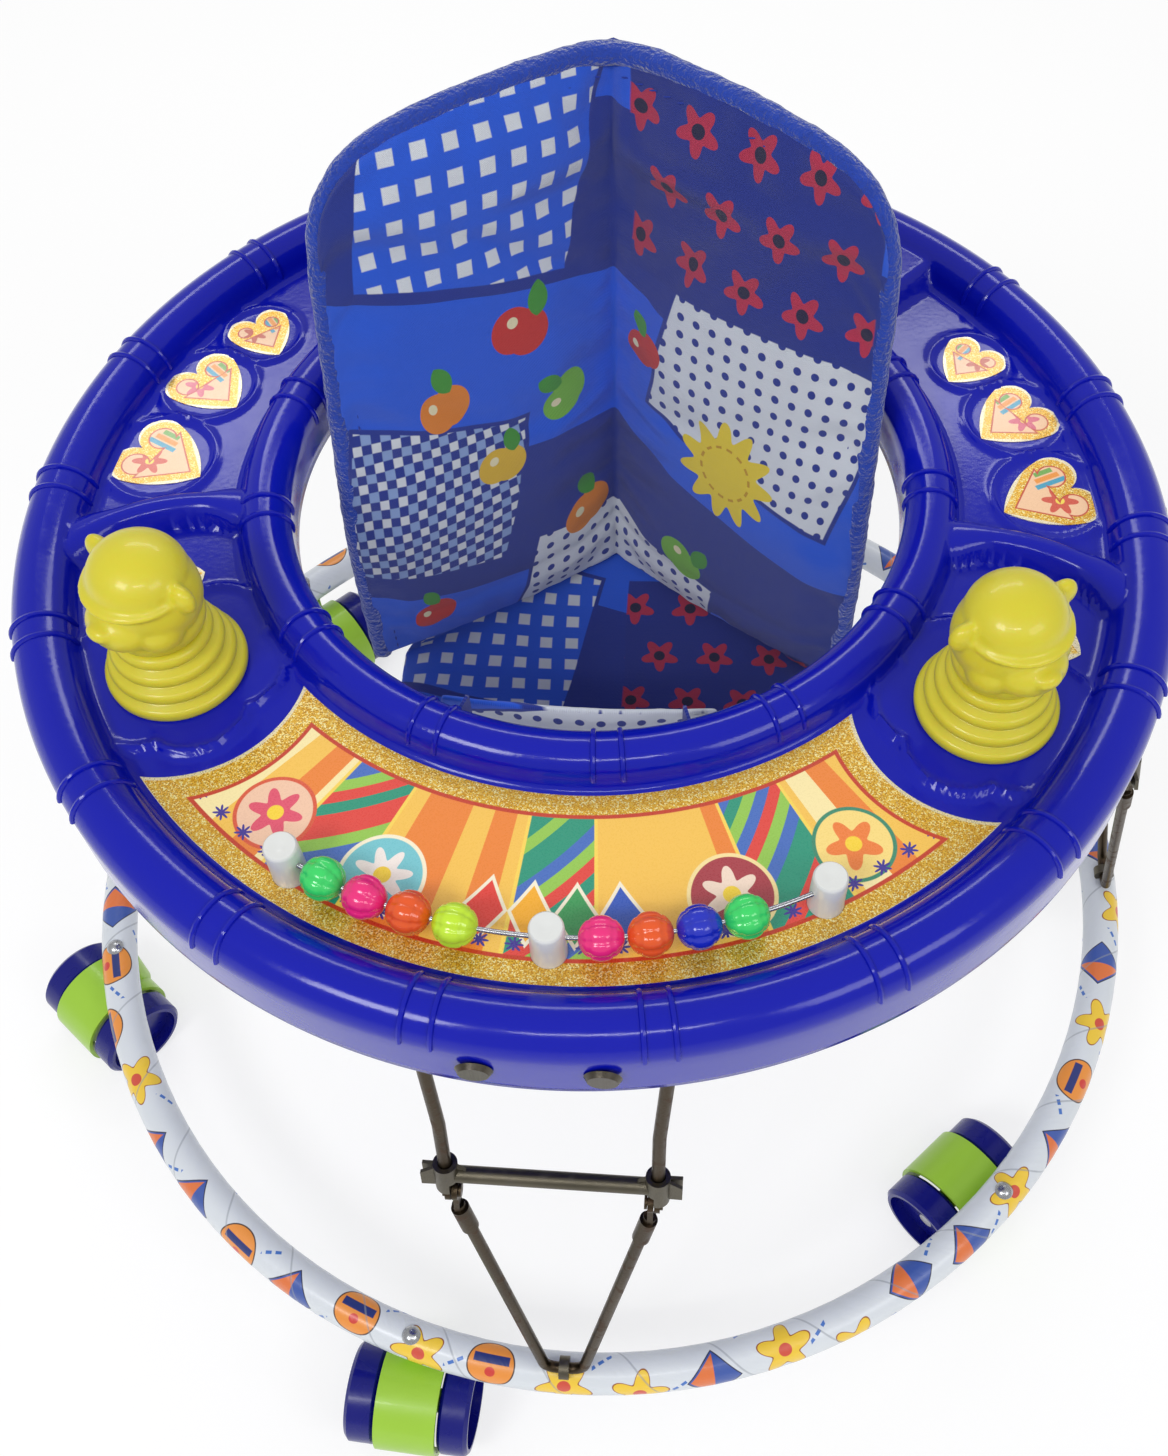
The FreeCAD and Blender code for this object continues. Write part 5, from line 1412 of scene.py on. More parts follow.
# Seat
@dataclass(frozen=True)
class PatchCloth(Finish):
    """Cotton print in patches: checks, spots, flowers, round fruit, leaves and a sun."""

    name: str = "patchwork cotton"
    shift: float = 0.0

    def write(self, surface: Surface, shader: bpy.types.Node) -> None:
        """Reads the piece's own map, in metres, from the middle and the lower edge."""
        x, y, _ = surface.places("UV")
        sway = (surface.noise(9.0, 2.0, surface.vector(x, y)) - 0.5) * 0.012
        x, y = x + sway, y + sway * 0.6 + self.shift
        navy, royal = linear((26, 52, 156)), linear((30, 96, 236))
        white, sky = linear((232, 238, 248)), linear((150, 178, 232))
        colour: object = royal
        lean_x, lean_y = surface.turned(x, y, 0.0, 0.14, math.radians(-12))
        band = lean_y.cell(0.078).call("PINGPONG", 1.0)
        colour = surface.mix(band, royal, navy)
        checks = self.checks(surface, x, y, 0.0135, royal, sky, white)
        fine = self.checks(surface, x, y, 0.0095, navy, sky, white)
        spots = surface.disc(x.wrap(0.0085), y.wrap(0.0085), 0.0, 0.0, 0.0019)
        spotted = surface.mix(spots.inside(), white, navy)
        for patch, print_colour in (
                (surface.block(lean_x, lean_y, -0.085, 0.088, 0.052, 0.045), checks),
                (surface.block(lean_x, lean_y, 0.082, 0.030, 0.055, 0.042), spotted),
                (surface.block(lean_x, lean_y, -0.092, -0.062, 0.046, 0.040), fine),
                (surface.block(lean_x, lean_y, 0.030, -0.125, 0.060, 0.030), spotted)):
            colour = surface.mix(patch.inside(0.0006), colour, print_colour)
            frame = abs(patch) - 0.0011
            colour = surface.mix(frame.inside(0.0005), colour, navy)
        colour = self.flowers(surface, colour, x, y)
        colour = self.fruit(surface, colour, x, y)
        colour = self.sun(surface, colour, x, y)
        weave = WEAVE.place(surface, write_weave, Count=8200.0, Depth=0.5, Crease=1.1)
        # The weave's tone darkens the print with painted shade in the hollows of the threads and the
        # creases.
        colour = self.tint(surface, colour, weave["Tone"], 0.66)
        surface.feed(shader.inputs["Base Color"], colour)
        surface.feed(shader.inputs["Roughness"], weave["Tone"] * 0.2 + 0.72)
        shader.inputs["Sheen Weight"].default_value = 0.18
        shader.inputs["Sheen Roughness"].default_value = 0.5
        self.bump(surface, shader, weave["Height"], 0.0006)

    def checks(self, surface: Surface, x: Term, y: Term, pitch: float, dark: object, middle: object,
               pale: object) -> bpy.types.NodeSocket:
        """Gingham: pale where no stripe runs, dark where two cross."""
        across = (abs(x.wrap(pitch)) - pitch * 0.26).inside(0.0005)
        along = (abs(y.wrap(pitch)) - pitch * 0.26).inside(0.0005)
        one = surface.mix(across.max(along), pale, dark)
        return surface.mix(across * along, one, middle) if pitch < 0.01 else one

    def flowers(self, surface: Surface, colour: object, x: Term, y: Term) -> object:
        """Scattered five-petalled flowers with dark eyes, on the upper right part.

        Args:
            surface: The material's nodes.
            colour: The colour so far.
            x: Place across.
            y: Place from front to rear.

        Returns:
            The colour with the flowers.
        """
        region = surface.block(x, y, 0.072, 0.232, 0.062, 0.045)
        row = y.cell(0.029)
        near = (x + row.call("PINGPONG", 1.0) * 0.0145).wrap(0.029)
        far = y.wrap(0.029)
        flower = surface.bloom(near, far, 0.0078, 0.0024, 5, 0.3)
        where = region.inside(0.001)
        colour = surface.mix(region.inside(0.0006), colour, linear((28, 50, 150)))
        colour = surface.mix(flower.inside() * where, colour, linear((196, 46, 84)))
        eye = surface.disc(near, far, 0.0, 0.0, 0.0030)
        return surface.mix(eye.inside() * where, colour, linear((30, 26, 70)))

    def fruit(self, surface: Surface, colour: object, x: Term, y: Term) -> object:
        """Round fruit with a leaf each, across the middle.

        Args:
            surface: The material's nodes.
            colour: The colour so far.
            x: Place across.
            y: Place from front to rear.

        Returns:
            The colour with the fruit.
        """
        for cx, cy, shade, size, turn in ((-0.092, 0.148, (240, 140, 50), 0.0125, 0.3),
                                          (-0.052, 0.172, (214, 52, 50), 0.0135, -0.4),
                                          (-0.030, 0.128, (126, 196, 70), 0.0120, 0.9),
                                          (-0.066, 0.108, (240, 196, 60), 0.0115, -0.2),
                                          (0.022, 0.150, (214, 52, 50), 0.0105, 0.5),
                                          (0.048, 0.040, (126, 196, 70), 0.0125, -0.7),
                                          (-0.020, 0.050, (240, 140, 50), 0.0130, 0.2),
                                          (-0.108, 0.030, (214, 52, 50), 0.0110, 0.4)):
            near, far = surface.turned(x, y, cx, cy, turn)
            body = surface.disc(near, far, size * 0.28, 0.0, size * 0.8).min(
                surface.disc(near, far, -size * 0.28, 0.0, size * 0.8))
            colour = surface.mix(body.inside(), colour, linear(shade))
            glint = surface.disc(near, far, -size * 0.4, size * 0.25, size * 0.2)
            colour = surface.mix(glint.inside(), colour, linear((250, 240, 200)))
            leaf = surface.disc(near, far, size * 0.55, size * 1.15, size * 0.62).max(
                surface.disc(near, far, size * 0.05, size * 1.05, size * 0.66))
            colour = surface.mix(leaf.inside(), colour, linear((70, 160, 60)))
        return colour

    def sun(self, surface: Surface, colour: object, x: Term, y: Term) -> object:
        """A large plain yellow sun with short rays, right of the middle.

        Args:
            surface: The material's nodes.
            colour: The colour so far.
            x: Place across.
            y: Place from front to rear.

        Returns:
            The colour with the sun.
        """
        near, far = x - 0.074, y - 0.112
        rays = surface.bloom(near, far, 0.0225, 0.0045, 11)
        colour = surface.mix(rays.inside(0.0005), colour, linear((250, 222, 60)))
        ring = abs(surface.disc(near, far, 0.0, 0.0, 0.0135)) - 0.0007
        dashes = (far.call("ARCTAN2", near) * 14.0).call("SINE").call("GREATER_THAN", -0.1)
        return surface.mix(ring.inside() * dashes, colour, linear((214, 160, 30)))


@dataclass(frozen=True)
class PlainCloth(Finish):
    """Plain woven or brushed cloth; nap raises its pile."""

    name: str
    colour: Colour
    nap: float = 0.0
    count: float = 7000.0

    def write(self, surface: Surface, shader: bpy.types.Node) -> None:
        """Weave or pile, a sheen, and painted shade where the weave, the creases and the pile are low."""
        weave = WEAVE.place(surface, write_weave, Count=self.count, Depth=0.6 * (1 - self.nap),
                            Crease=0.9)
        # The weave's tone paints shade into the hollows of the threads and the creases.
        colour = self.tint(surface, linear(self.colour), weave["Tone"], 0.6)
        pile = surface.noise(520.0, 4.0)
        clump_and_shade = surface.noise(130.0, 3.0)
        # The pile and clump noise that raise the bump also darken the colour where they are low: painted
        # shade in the pile's hollows.
        colour = self.tint(surface, colour, pile * (0.5 * self.nap) + (1.0 - 0.5 * self.nap) * 0.5
                           + (clump_and_shade - 0.5) * (0.5 * self.nap), 0.55)
        surface.feed(shader.inputs["Base Color"], colour)
        surface.feed(shader.inputs["Roughness"], pile * 0.1 + 0.78)
        shader.inputs["Sheen Weight"].default_value = 0.15 + 0.45 * self.nap
        shader.inputs["Sheen Roughness"].default_value = 0.45
        height = weave["Height"] * (1 - self.nap) + (pile * 1.4 + clump_and_shade) * self.nap
        self.bump(surface, shader, height, 0.0005 + 0.0009 * self.nap)


@dataclass
class BackForm:
    """The folded shape of the seat's back: its outline and its depth from front to rear."""

    half: float = 120.0
    reach: float = 125.5
    foot: float = 232.0
    waist: float = 320.0
    top: float = 511.0
    crease_foot: float = 100.0
    crease_top: float = 141.0
    wing_foot: float = 20.0
    wing_top: float = 74.0
    crown: float = 10.0
    edge: tuple[tuple[float, float], ...] = ((0.0, 511.0), (30.0, 509.6), (60.0, 506.8),
                                             (84.0, 502.6), (99.0, 497.5), (108.0, 491.0),
                                             (114.0, 483.0), (118.0, 474.0), (120.0, 464.0))

    def crease(self, height: float) -> float:
        """Depth of the centre crease at a height."""
        rise = (height - self.foot) / (self.top - self.foot)
        return self.crease_foot + (self.crease_top - self.crease_foot) * rise

    def wing(self, height: float) -> float:
        """Depth of the wings' edge at a height."""
        above = max(0.0, (height - self.waist) / (self.top - self.waist))
        return self.wing_foot + (self.wing_top - self.wing_foot) * above

    def depth(self, across: float, height: float) -> float:
        """Depth of the flat folded panel at a place."""
        share = abs(across) / self.reach
        return self.crease(height) + (self.wing(height) - self.crease(height)) * share

    def stretch(self, height: float) -> float:
        """How much longer the cloth is than its width seen from the front."""
        return math.hypot(1.0, (self.crease(height) - self.wing(height)) / self.reach)

    def place(self, share: float, rise: float) -> tuple[float, float]:
        """Turns shares of the width and the height into a place on the panel."""
        across = share * self.half
        return across, self.foot + rise * (interpolate(self.edge, abs(across)) - self.foot)


class ClothWork:
    """Blows up or settles a closed cloth form with Blender's cloth solver."""

    @staticmethod
    def puff(piece: bpy.types.Object, pressure: float, cap: float, held: Sequence[int],
             shrink: float = 0.0, frames: int = 18, stiff: float = 12.0) -> None:
        """Runs the solver and keeps a capped result.

        Args:
            piece: The piece; its mesh takes the result.
            pressure: Pressure inside the form.
            cap: Furthest that a point may move, in metres.
            held: Points that stay where they are, as a sewn edge does.
            shrink: How much the cloth shrinks; below zero it grows and wrinkles.
            frames: Frames to run.
            stiff: Stiffness in stretch and shear.
        """
        scene = bpy.context.scene
        group = piece.vertex_groups.new(name="sewn")
        group.add(list(held), 1.0, "REPLACE")
        solver = piece.modifiers.new("puff", "CLOTH")
        settings = solver.settings
        settings.quality = 6
        settings.mass = 0.15
        settings.tension_stiffness = settings.compression_stiffness = stiff
        settings.shear_stiffness = stiff / 2
        settings.bending_stiffness = 0.4
        settings.use_pressure = True
        settings.uniform_pressure_force = pressure
        settings.shrink_min = shrink
        settings.effector_weights.gravity = 0.0
        settings.vertex_group_mass = group.name
        solver.collision_settings.use_collision = False
        solver.point_cache.frame_start, solver.point_cache.frame_end = 1, frames
        start = [dot.co.copy() for dot in piece.data.vertices]
        for frame in range(1, frames + 1):
            scene.frame_set(frame)
        graph = bpy.context.evaluated_depsgraph_get()
        moved = [dot.co.copy() for dot in piece.evaluated_get(graph).data.vertices]
        piece.modifiers.clear()
        piece.vertex_groups.clear()
        for dot, before, after in zip(piece.data.vertices, start, moved):
            way = after - before
            dot.co = before + way * (min(1.0, cap / way.length) if way.length > 0 else 0.0)
        scene.frame_set(1)
        LOG.info("%s: cloth settled", piece.name)


@dataclass
class SeatBack:
    """The back of the seat: padded front, board cover, fleecy bound edge and sewn crease."""

    form: BackForm
    pad_edge: float = 4.0
    pad_crease: float = 5.0
    board: float = 2.5
    cloth: float = 1.6
    gap: float = 0.3
    binding: float = 5.5
    across_steps: int = 64
    up_steps: int = 72

    def shell(self, front: Callable[[float, float], float], rear: Callable[[float, float], float],
              across: int, up: int) -> tuple[bmesh.types.BMesh, list[int]]:
        """Makes a closed two-sided form over the back's outline, with its map in metres.

        Args:
            front: Depth of the front face at a place, in millimetres.
            rear: Depth of the rear face.
            across: Steps across.
            up: Steps upwards.

        Returns:
            The bmesh and the points of its edge and crease.
        """
        mesh = bmesh.new()
        bmesh.ops.create_grid(mesh, x_segments=across, y_segments=up, size=1.0)
        pushed = bmesh.ops.extrude_face_region(mesh, geom=list(mesh.faces), use_keep_orig=True)
        fore = [item for item in pushed["geom"] if isinstance(item, bmesh.types.BMVert)]
        chart = mesh.loops.layers.uv.new("cloth")
        rest = {dot: (dot.co.x, (dot.co.y + 1) / 2) for dot in mesh.verts}
        ahead = set(fore)
        held = []
        mesh.verts.index_update()
        for dot, (share, rise) in rest.items():
            x, z = self.form.place(share, rise)
            depth = front(x, z) if dot in ahead else rear(x, z)
            dot.co = Vector((x, depth, z)) * MM
            if abs(share) > 0.985 or rise < 0.01 or rise > 0.99 or abs(share) < 0.02:
                held.append(dot.index)
            elif dot not in ahead:
                held.append(dot.index)
        for face in mesh.faces:
            for loop in face.loops:
                share, rise = rest[loop.vert]
                x, z = self.form.place(share, rise)
                loop[chart].uv = (x * self.form.stretch(z) * MM, (z - self.form.foot) * MM)
        return mesh, held

    def front_depth(self, x: float, z: float) -> float:
        """Front of the pad: crowned on each side of the crease, flat towards the edge.

        Args:
            x: Place across.
            z: Height.

        Returns:
            The depth there.
        """
        share = min(1.0, abs(x) / self.form.half)
        level = min(1.0, max(0.0, (z - self.form.foot) / (self.form.top - self.form.foot)))
        crown = self.form.crown * interpolate(((0, 0.35), (0.15, 0.8), (0.4, 0.85), (0.85, 0.6),
                                               (1.0, 0.1)), level)
        bulge = crown * (1 - abs(2 * share - 1) ** 2.4)
        seam = 1.6 * math.exp(-((z - 262.0) / 3.2) ** 2)
        groove = 1.8 * math.exp(-(x / 3.0) ** 2)
        return self.form.depth(x, z) - bulge + seam + groove

    def build_pad(self, finish: Finish) -> bpy.types.Object:
        """The padded front, puffed by the cloth solver.

        Args:
            finish: Its finish.

        Returns:
            The pad.
        """
        def rear(x: float, z: float) -> float:
            """Rear of the pad, flat on the board."""
            share = min(1.0, abs(x) / self.form.half)
            return self.form.depth(x, z) + self.pad_crease + (self.pad_edge - self.pad_crease) * share
        mesh, held = self.shell(self.front_depth, rear, self.across_steps, self.up_steps)
        piece = new_piece("seat_back_padding", mesh, "tray", finish, smooth=180)
        ClothWork.puff(piece, 2.2, 0.006, held, shrink=-0.035)
        level = piece.modifiers.new("level", "SUBSURF")
        level.levels = level.render_levels = 1
        applied(piece)
        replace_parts(piece, "seat_back_pad")
        return piece

    def build_rear_cloth(self, finish: Finish) -> bpy.types.Object:
        """The cloth over the board behind the pad, with light vertical tension folds.

        Args:
            finish: Its finish.

        Returns:
            The cloth.
        """
        start = self.pad_crease + self.board + 2 * self.gap
        def front(x: float, z: float) -> float:
            """Its front face, against the board, whose wings swell rearwards near the top."""
            share = min(1.0, abs(x) / self.form.half)
            swell = interpolate(((400, 0.0), (409, 0.3), (425, 1.0), (441, 1.7), (457, 2.3),
                                 (472, 2.5), (488, 1.8), (504, 0.4), (511, 0.0)), z)
            return (self.form.depth(x, z) + start
                    + share * (swell + self.pad_edge - self.pad_crease))
        def rear(x: float, z: float) -> float:
            """Its rear face, with shallow folds."""
            fold = noise.noise(Vector((x / 16, z / 90, 3.0))) * 0.5
            return front(x, z) + self.cloth * 0.7 + fold
        mesh, _ = self.shell(front, rear, 48, 56)
        piece = new_piece("seat_rear_cover", mesh, "tray", finish, smooth=180)
        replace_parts(piece, "seat_back_cloth")
        width = 2 * self.form.half * self.form.stretch(400.0)
        return piece

    def route(self) -> list[Vector]:
        """The bound edge's line, from the left foot over the top to the right foot.

        Returns:
            Its points.
        """
        middle = (self.pad_edge + self.board + self.cloth + 2 * self.gap) / 2
        right = [(self.form.half, self.form.foot + 279 * step / 12) for step in range(10)]
        right += [(across, up) for across, up in reversed(self.form.edge) if up > 452]
        dots = [Vector((x, self.form.depth(x, z) + middle, z)) for x, z in right]
        return [Vector((-dot.x, dot.y, dot.z)) for dot in dots] + list(reversed(dots[:-1]))

    def build_binding(self, finish: Finish) -> bpy.types.Object:
        """A fleecy roll round the edge, lumpy where its stitches pull it in.

        Args:
            finish: Its finish.

        Returns:
            The binding.
        """
        curve = bpy.data.curves.new("binding line", "CURVE")
        curve.dimensions = "3D"
        line = curve.splines.new("NURBS")
        dots = self.route()
        line.points.add(len(dots) - 1)
        for point, dot in zip(line.points, dots):
            point.co = (*(dot * MM), 1.0)
        line.order_u, line.use_endpoint_u = 4, True
        line.resolution_u = 10
        curve.bevel_depth, curve.bevel_resolution = (self.binding - 0.45) * MM, 5
        curve.use_fill_caps = True
        holder = bpy.data.objects.new("binding line", curve)
        bpy.context.scene.collection.objects.link(holder)
        graph = bpy.context.evaluated_depsgraph_get()
        graph.update()
        data = bpy.data.meshes.new_from_object(holder.evaluated_get(graph), depsgraph=graph)
        bpy.data.objects.remove(holder)
        mesh = bmesh.new()
        mesh.from_mesh(data)
        bpy.data.meshes.remove(data)
        bmesh.ops.remove_doubles(mesh, verts=mesh.verts, dist=0.0001)
        bmesh.ops.subdivide_edges(mesh, edges=mesh.edges, cuts=1, use_grid_fill=True)
        mesh.normal_update()
        for dot in mesh.verts:
            lump = noise.noise(dot.co * 110) * 0.55 + noise.noise(dot.co * 320) * 0.3
            dot.co += dot.normal * lump * MM
        piece = new_piece("seat_fleece_binding", mesh, "tray", finish, smooth=180)
        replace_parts(piece, "seat_binding")
        return piece

    def build_stitches(self, finish: Finish) -> bpy.types.Object:
        """Short stitches along the crease and just inside the bound edge.

        Args:
            finish: Its finish.

        Returns:
            The stitches.
        """
        mesh = bmesh.new()
        places = []
        for step in range(44):
            z = self.form.foot + 8 + step * 6.1
            places.append((0.0, z, 0.0))
        for side in (-1, 1):
            places += [(side * 111.0, self.form.foot + 6 + step * 6.0, 0.0) for step in range(38)]
            places += [(side * 108.0 * (1 - step / 18), 0.0, 1.0) for step in range(2, 18)]
        for x, z, over in places:
            if over:
                z = interpolate(self.form.edge, abs(x)) - 8.5
            depth = self.front_depth(x, z) - 0.5
            made = bmesh.ops.create_icosphere(mesh, subdivisions=1, radius=1.0)
            stretch = Vector((1.9, 0.45, 0.45)) if over else Vector((0.45, 0.45, 1.9))
            bmesh.ops.scale(mesh, vec=stretch * MM, verts=made["verts"])
            bmesh.ops.translate(mesh, vec=Vector((x, depth, z)) * MM, verts=made["verts"])
        return new_piece("seat_stitches", mesh, "tray", finish)


@dataclass
class SeatBase:
    """The padded base between the back and the front panel that runs up between the legs."""

    thick: float = 9.0
    across_steps: int = 44
    stations: tuple[tuple[float, float, float, float], ...] = (
        (109.0, 231.0, 105.3, 0.0), (96.0, 223.5, 105.5, 0.0), (45.0, 213.2, 112.0, 0.0),
        (-10.0, 210.4, 108.6, 0.0), (-40.5, 214.9, 90.0, 20.0), (-58.1, 231.2, 68.0, 55.0),
        (-73.9, 291.7, 65.3, 75.0), (-88.0, 364.0, 57.8, 75.0))

    def line(self, steps: int) -> list[tuple[float, float, float]]:
        """Depth, height and half width along the base, from the rear to the front panel's top.

        Args:
            steps: Points between two stations.

        Returns:
            Its points.
        """
        dots = [Vector((depth, height, half)) for depth, height, half, _ in self.stations]
        dots = [dots[0] * 2 - dots[1]] + dots + [dots[-1] * 2 - dots[-2]]
        found = []
        for before, low, high, after in zip(dots, dots[1:], dots[2:], dots[3:]):
            for step in range(steps):
                t = step / steps
                found.append(0.5 * (low * 2 + (high - before) * t
                                    + (before * 2 - low * 5 + high * 4 - after) * t * t
                                    + (low * 3 - before - high * 3 + after) * t ** 3))
        found.append(dots[-2])
        return [tuple(dot) for dot in found]

    def build(self, finish: Finish) -> bpy.types.Object:
        """A closed padded form over the line, sagging between its sides, puffed as cloth.

        Args:
            finish: Its finish.

        Returns:
            The base.
        """
        spine = self.line(11)
        count = len(spine) - 1
        mesh = bmesh.new()
        bmesh.ops.create_grid(mesh, x_segments=self.across_steps, y_segments=count, size=1.0)
        pushed = bmesh.ops.extrude_face_region(mesh, geom=list(mesh.faces), use_keep_orig=True)
        upper = {item for item in pushed["geom"] if isinstance(item, bmesh.types.BMVert)}
        chart = mesh.loops.layers.uv.new("cloth")
        runs = [0.0]
        for (y0, z0, _), (y1, z1, _) in zip(spine, spine[1:]):
            runs.append(runs[-1] + math.hypot(y1 - y0, z1 - z0))
        rest = {dot: (dot.co.x, round((dot.co.y + 1) / 2 * count)) for dot in mesh.verts}
        mesh.verts.index_update()
        held = []
        for dot, (share, row) in rest.items():
            depth, height, half = spine[row]
            here, there = spine[max(0, row - 1)], spine[min(count, row + 1)]
            run = Vector((0, there[0] - here[0], there[1] - here[1])).normalized()
            normal = Vector((0, run.z, -run.y))
            if normal.z < 0:
                normal = -normal
            along = row / count
            puff = (1 - share ** 4) * (1 - abs(2 * along - 1) ** 6)
            reach = self.thick / 2 * (0.35 + 0.65 * puff)
            sag = -2.6 * (1 - share ** 2)
            place = Vector((share * half, depth, height)) + normal * (
                (reach if dot in upper else -reach) + sag)
            place.y = min(place.y, self.limit(place.x))
            dot.co = place * MM
            if abs(share) > 0.98 or row in (0, count):
                held.append(dot.index)
        for face in mesh.faces:
            for loop in face.loops:
                share, row = rest[loop.vert]
                loop[chart].uv = (share * spine[row][2] * MM, -runs[row] * MM)
        piece = new_piece("seat_base_padding", mesh, "tray", finish, smooth=180)
        ClothWork.puff(piece, 1.6, 0.0035, held, shrink=-0.02)
        for dot in piece.data.vertices:
            dot.co.y = min(dot.co.y, self.limit(dot.co.x / MM) * MM)
        level = piece.modifiers.new("level", "SUBSURF")
        level.levels = level.render_levels = 1
        applied(piece)
        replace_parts(piece, "seat_pouch")
        return piece

    @staticmethod
    def limit(x: float) -> float:
        """Furthest back that the base may reach at a place across: the back's cloth."""
        return 100.0 + 10.5 - 80.0 * abs(x) / 125.5


@dataclass
class Straps:
    """Six webbing straps with sewn ends on flat-headed studs in the hole's wall."""

    hole: float = 136.0
    shift: float = 22.0
    low: float = 360.0
    width: float = 16.0
    thick: float = 1.6
    gap: float = 0.1
    flat: float = 16.0

    def build(self, form: BackForm, cloth: Finish, metal: Finish) -> None:
        """Makes the webbing and the studs from the same places as the CAD straps.

        Args:
            form: The back's form, which the rear straps start from.
            cloth: Finish of the webbing.
            metal: Finish of the studs.
        """
        web, studs = bmesh.new(), bmesh.new()
        chart = web.loops.layers.uv.new("cloth")
        run = web.verts.layers.float.new("run")
        places = [(90.0 + side * angle, True) for side in (-1, 1) for angle in (22.0, 50.0)]
        places += [(-90.0 + side * 24.0, False) for side in (-1, 1)]
        for angle, at_rear in places:
            route = self.line(form, angle, at_rear)
            dots = [web.verts.new(Vector((dot.x, dot.y, self.low)) * MM) for dot in route]
            for before, dot in zip(dots, dots[1:]):
                dot[run] = before[run] + (dot.co - before.co).length
            edges = [web.edges.new(pair) for pair in zip(dots, dots[1:])]
            for rise in (1.0, self.width / 2 - 1.0, self.width / 2 - 1.0, 1.0):
                made = bmesh.ops.extrude_edge_only(web, edges=edges)["geom"]
                raised = {item for item in made if isinstance(item, bmesh.types.BMVert)}
                bmesh.ops.translate(web, vec=Vector((0, 0, rise)) * MM, verts=list(raised))
                edges = [item for item in made if isinstance(item, bmesh.types.BMEdge)
                         and raised.issuperset(item.verts)]
            self.stud(studs, angle)
        for face in web.faces:
            for loop in face.loops:
                loop[chart].uv = (loop.vert.co.z - self.low * MM, loop.vert[run])
        piece = new_piece("seat_webbing", web, "tray", cloth)
        wall = piece.modifiers.new("wall", "SOLIDIFY")
        wall.thickness, wall.offset = (self.thick - 0.2) * MM, 0.0
        applied(piece)
        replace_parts(piece, "seat_straps")
        new_piece("seat_studs", studs, "tray", metal)

    def line(self, form: BackForm, angle: float, at_rear: bool) -> list[Vector]:
        """The middle line of one strap, from the seat to the wall and along it.

        Args:
            form: The back's form.
            angle: Where it meets the wall, in degrees.
            at_rear: Whether it holds the back.

        Returns:
            Its points, in millimetres.
        """
        radius = self.hole - self.gap - self.thick / 2
        turn = math.radians(angle)
        across = (self.hole - self.gap) * math.cos(turn) * 0.8
        if at_rear:
            begin = Vector((across, form.depth(across, self.low + self.width) + 11.1, 0))
        else:
            begin = Vector((across, -94.6, 0))
        spread = self.flat / radius
        inward = -1 if (across > 0) != at_rear else 1
        dots = []
        for step in range(9):
            place = turn + inward * spread * (0.5 - step / 8) * -1
            dots.append(Vector((radius * math.cos(place), self.shift + radius * math.sin(place), 0)))
        if (dots[0] - begin).length > (dots[-1] - begin).length:
            dots.reverse()
        lead = [begin.lerp(dots[0], step / 5) for step in range(5)]
        return lead + dots

    def stud(self, mesh: bmesh.types.BMesh, angle: float) -> None:
        """A shallow domed head on the strap's end.

        Args:
            mesh: What it is added to.
            angle: Its place on the wall, in degrees.
        """
        part = bmesh.new()
        revolve(part, outline(part, [(0.0, 1.5), (2.2, 1.45), (3.8, 1.15), (4.6, 0.6), (4.8, 0.0),
                                     (0.0, 0.0)]), 28)
        turn = math.radians(angle)
        inwards = Vector((-math.cos(turn), -math.sin(turn), 0))
        seat = self.hole - self.gap * 2 - self.thick
        place = Vector((0, self.shift, self.low + self.width / 2)) - inwards * seat
        facing = inwards.to_track_quat("Z", "Y").to_matrix().to_4x4()
        join_part(mesh, part, Matrix.Translation(place * MM) @ facing)


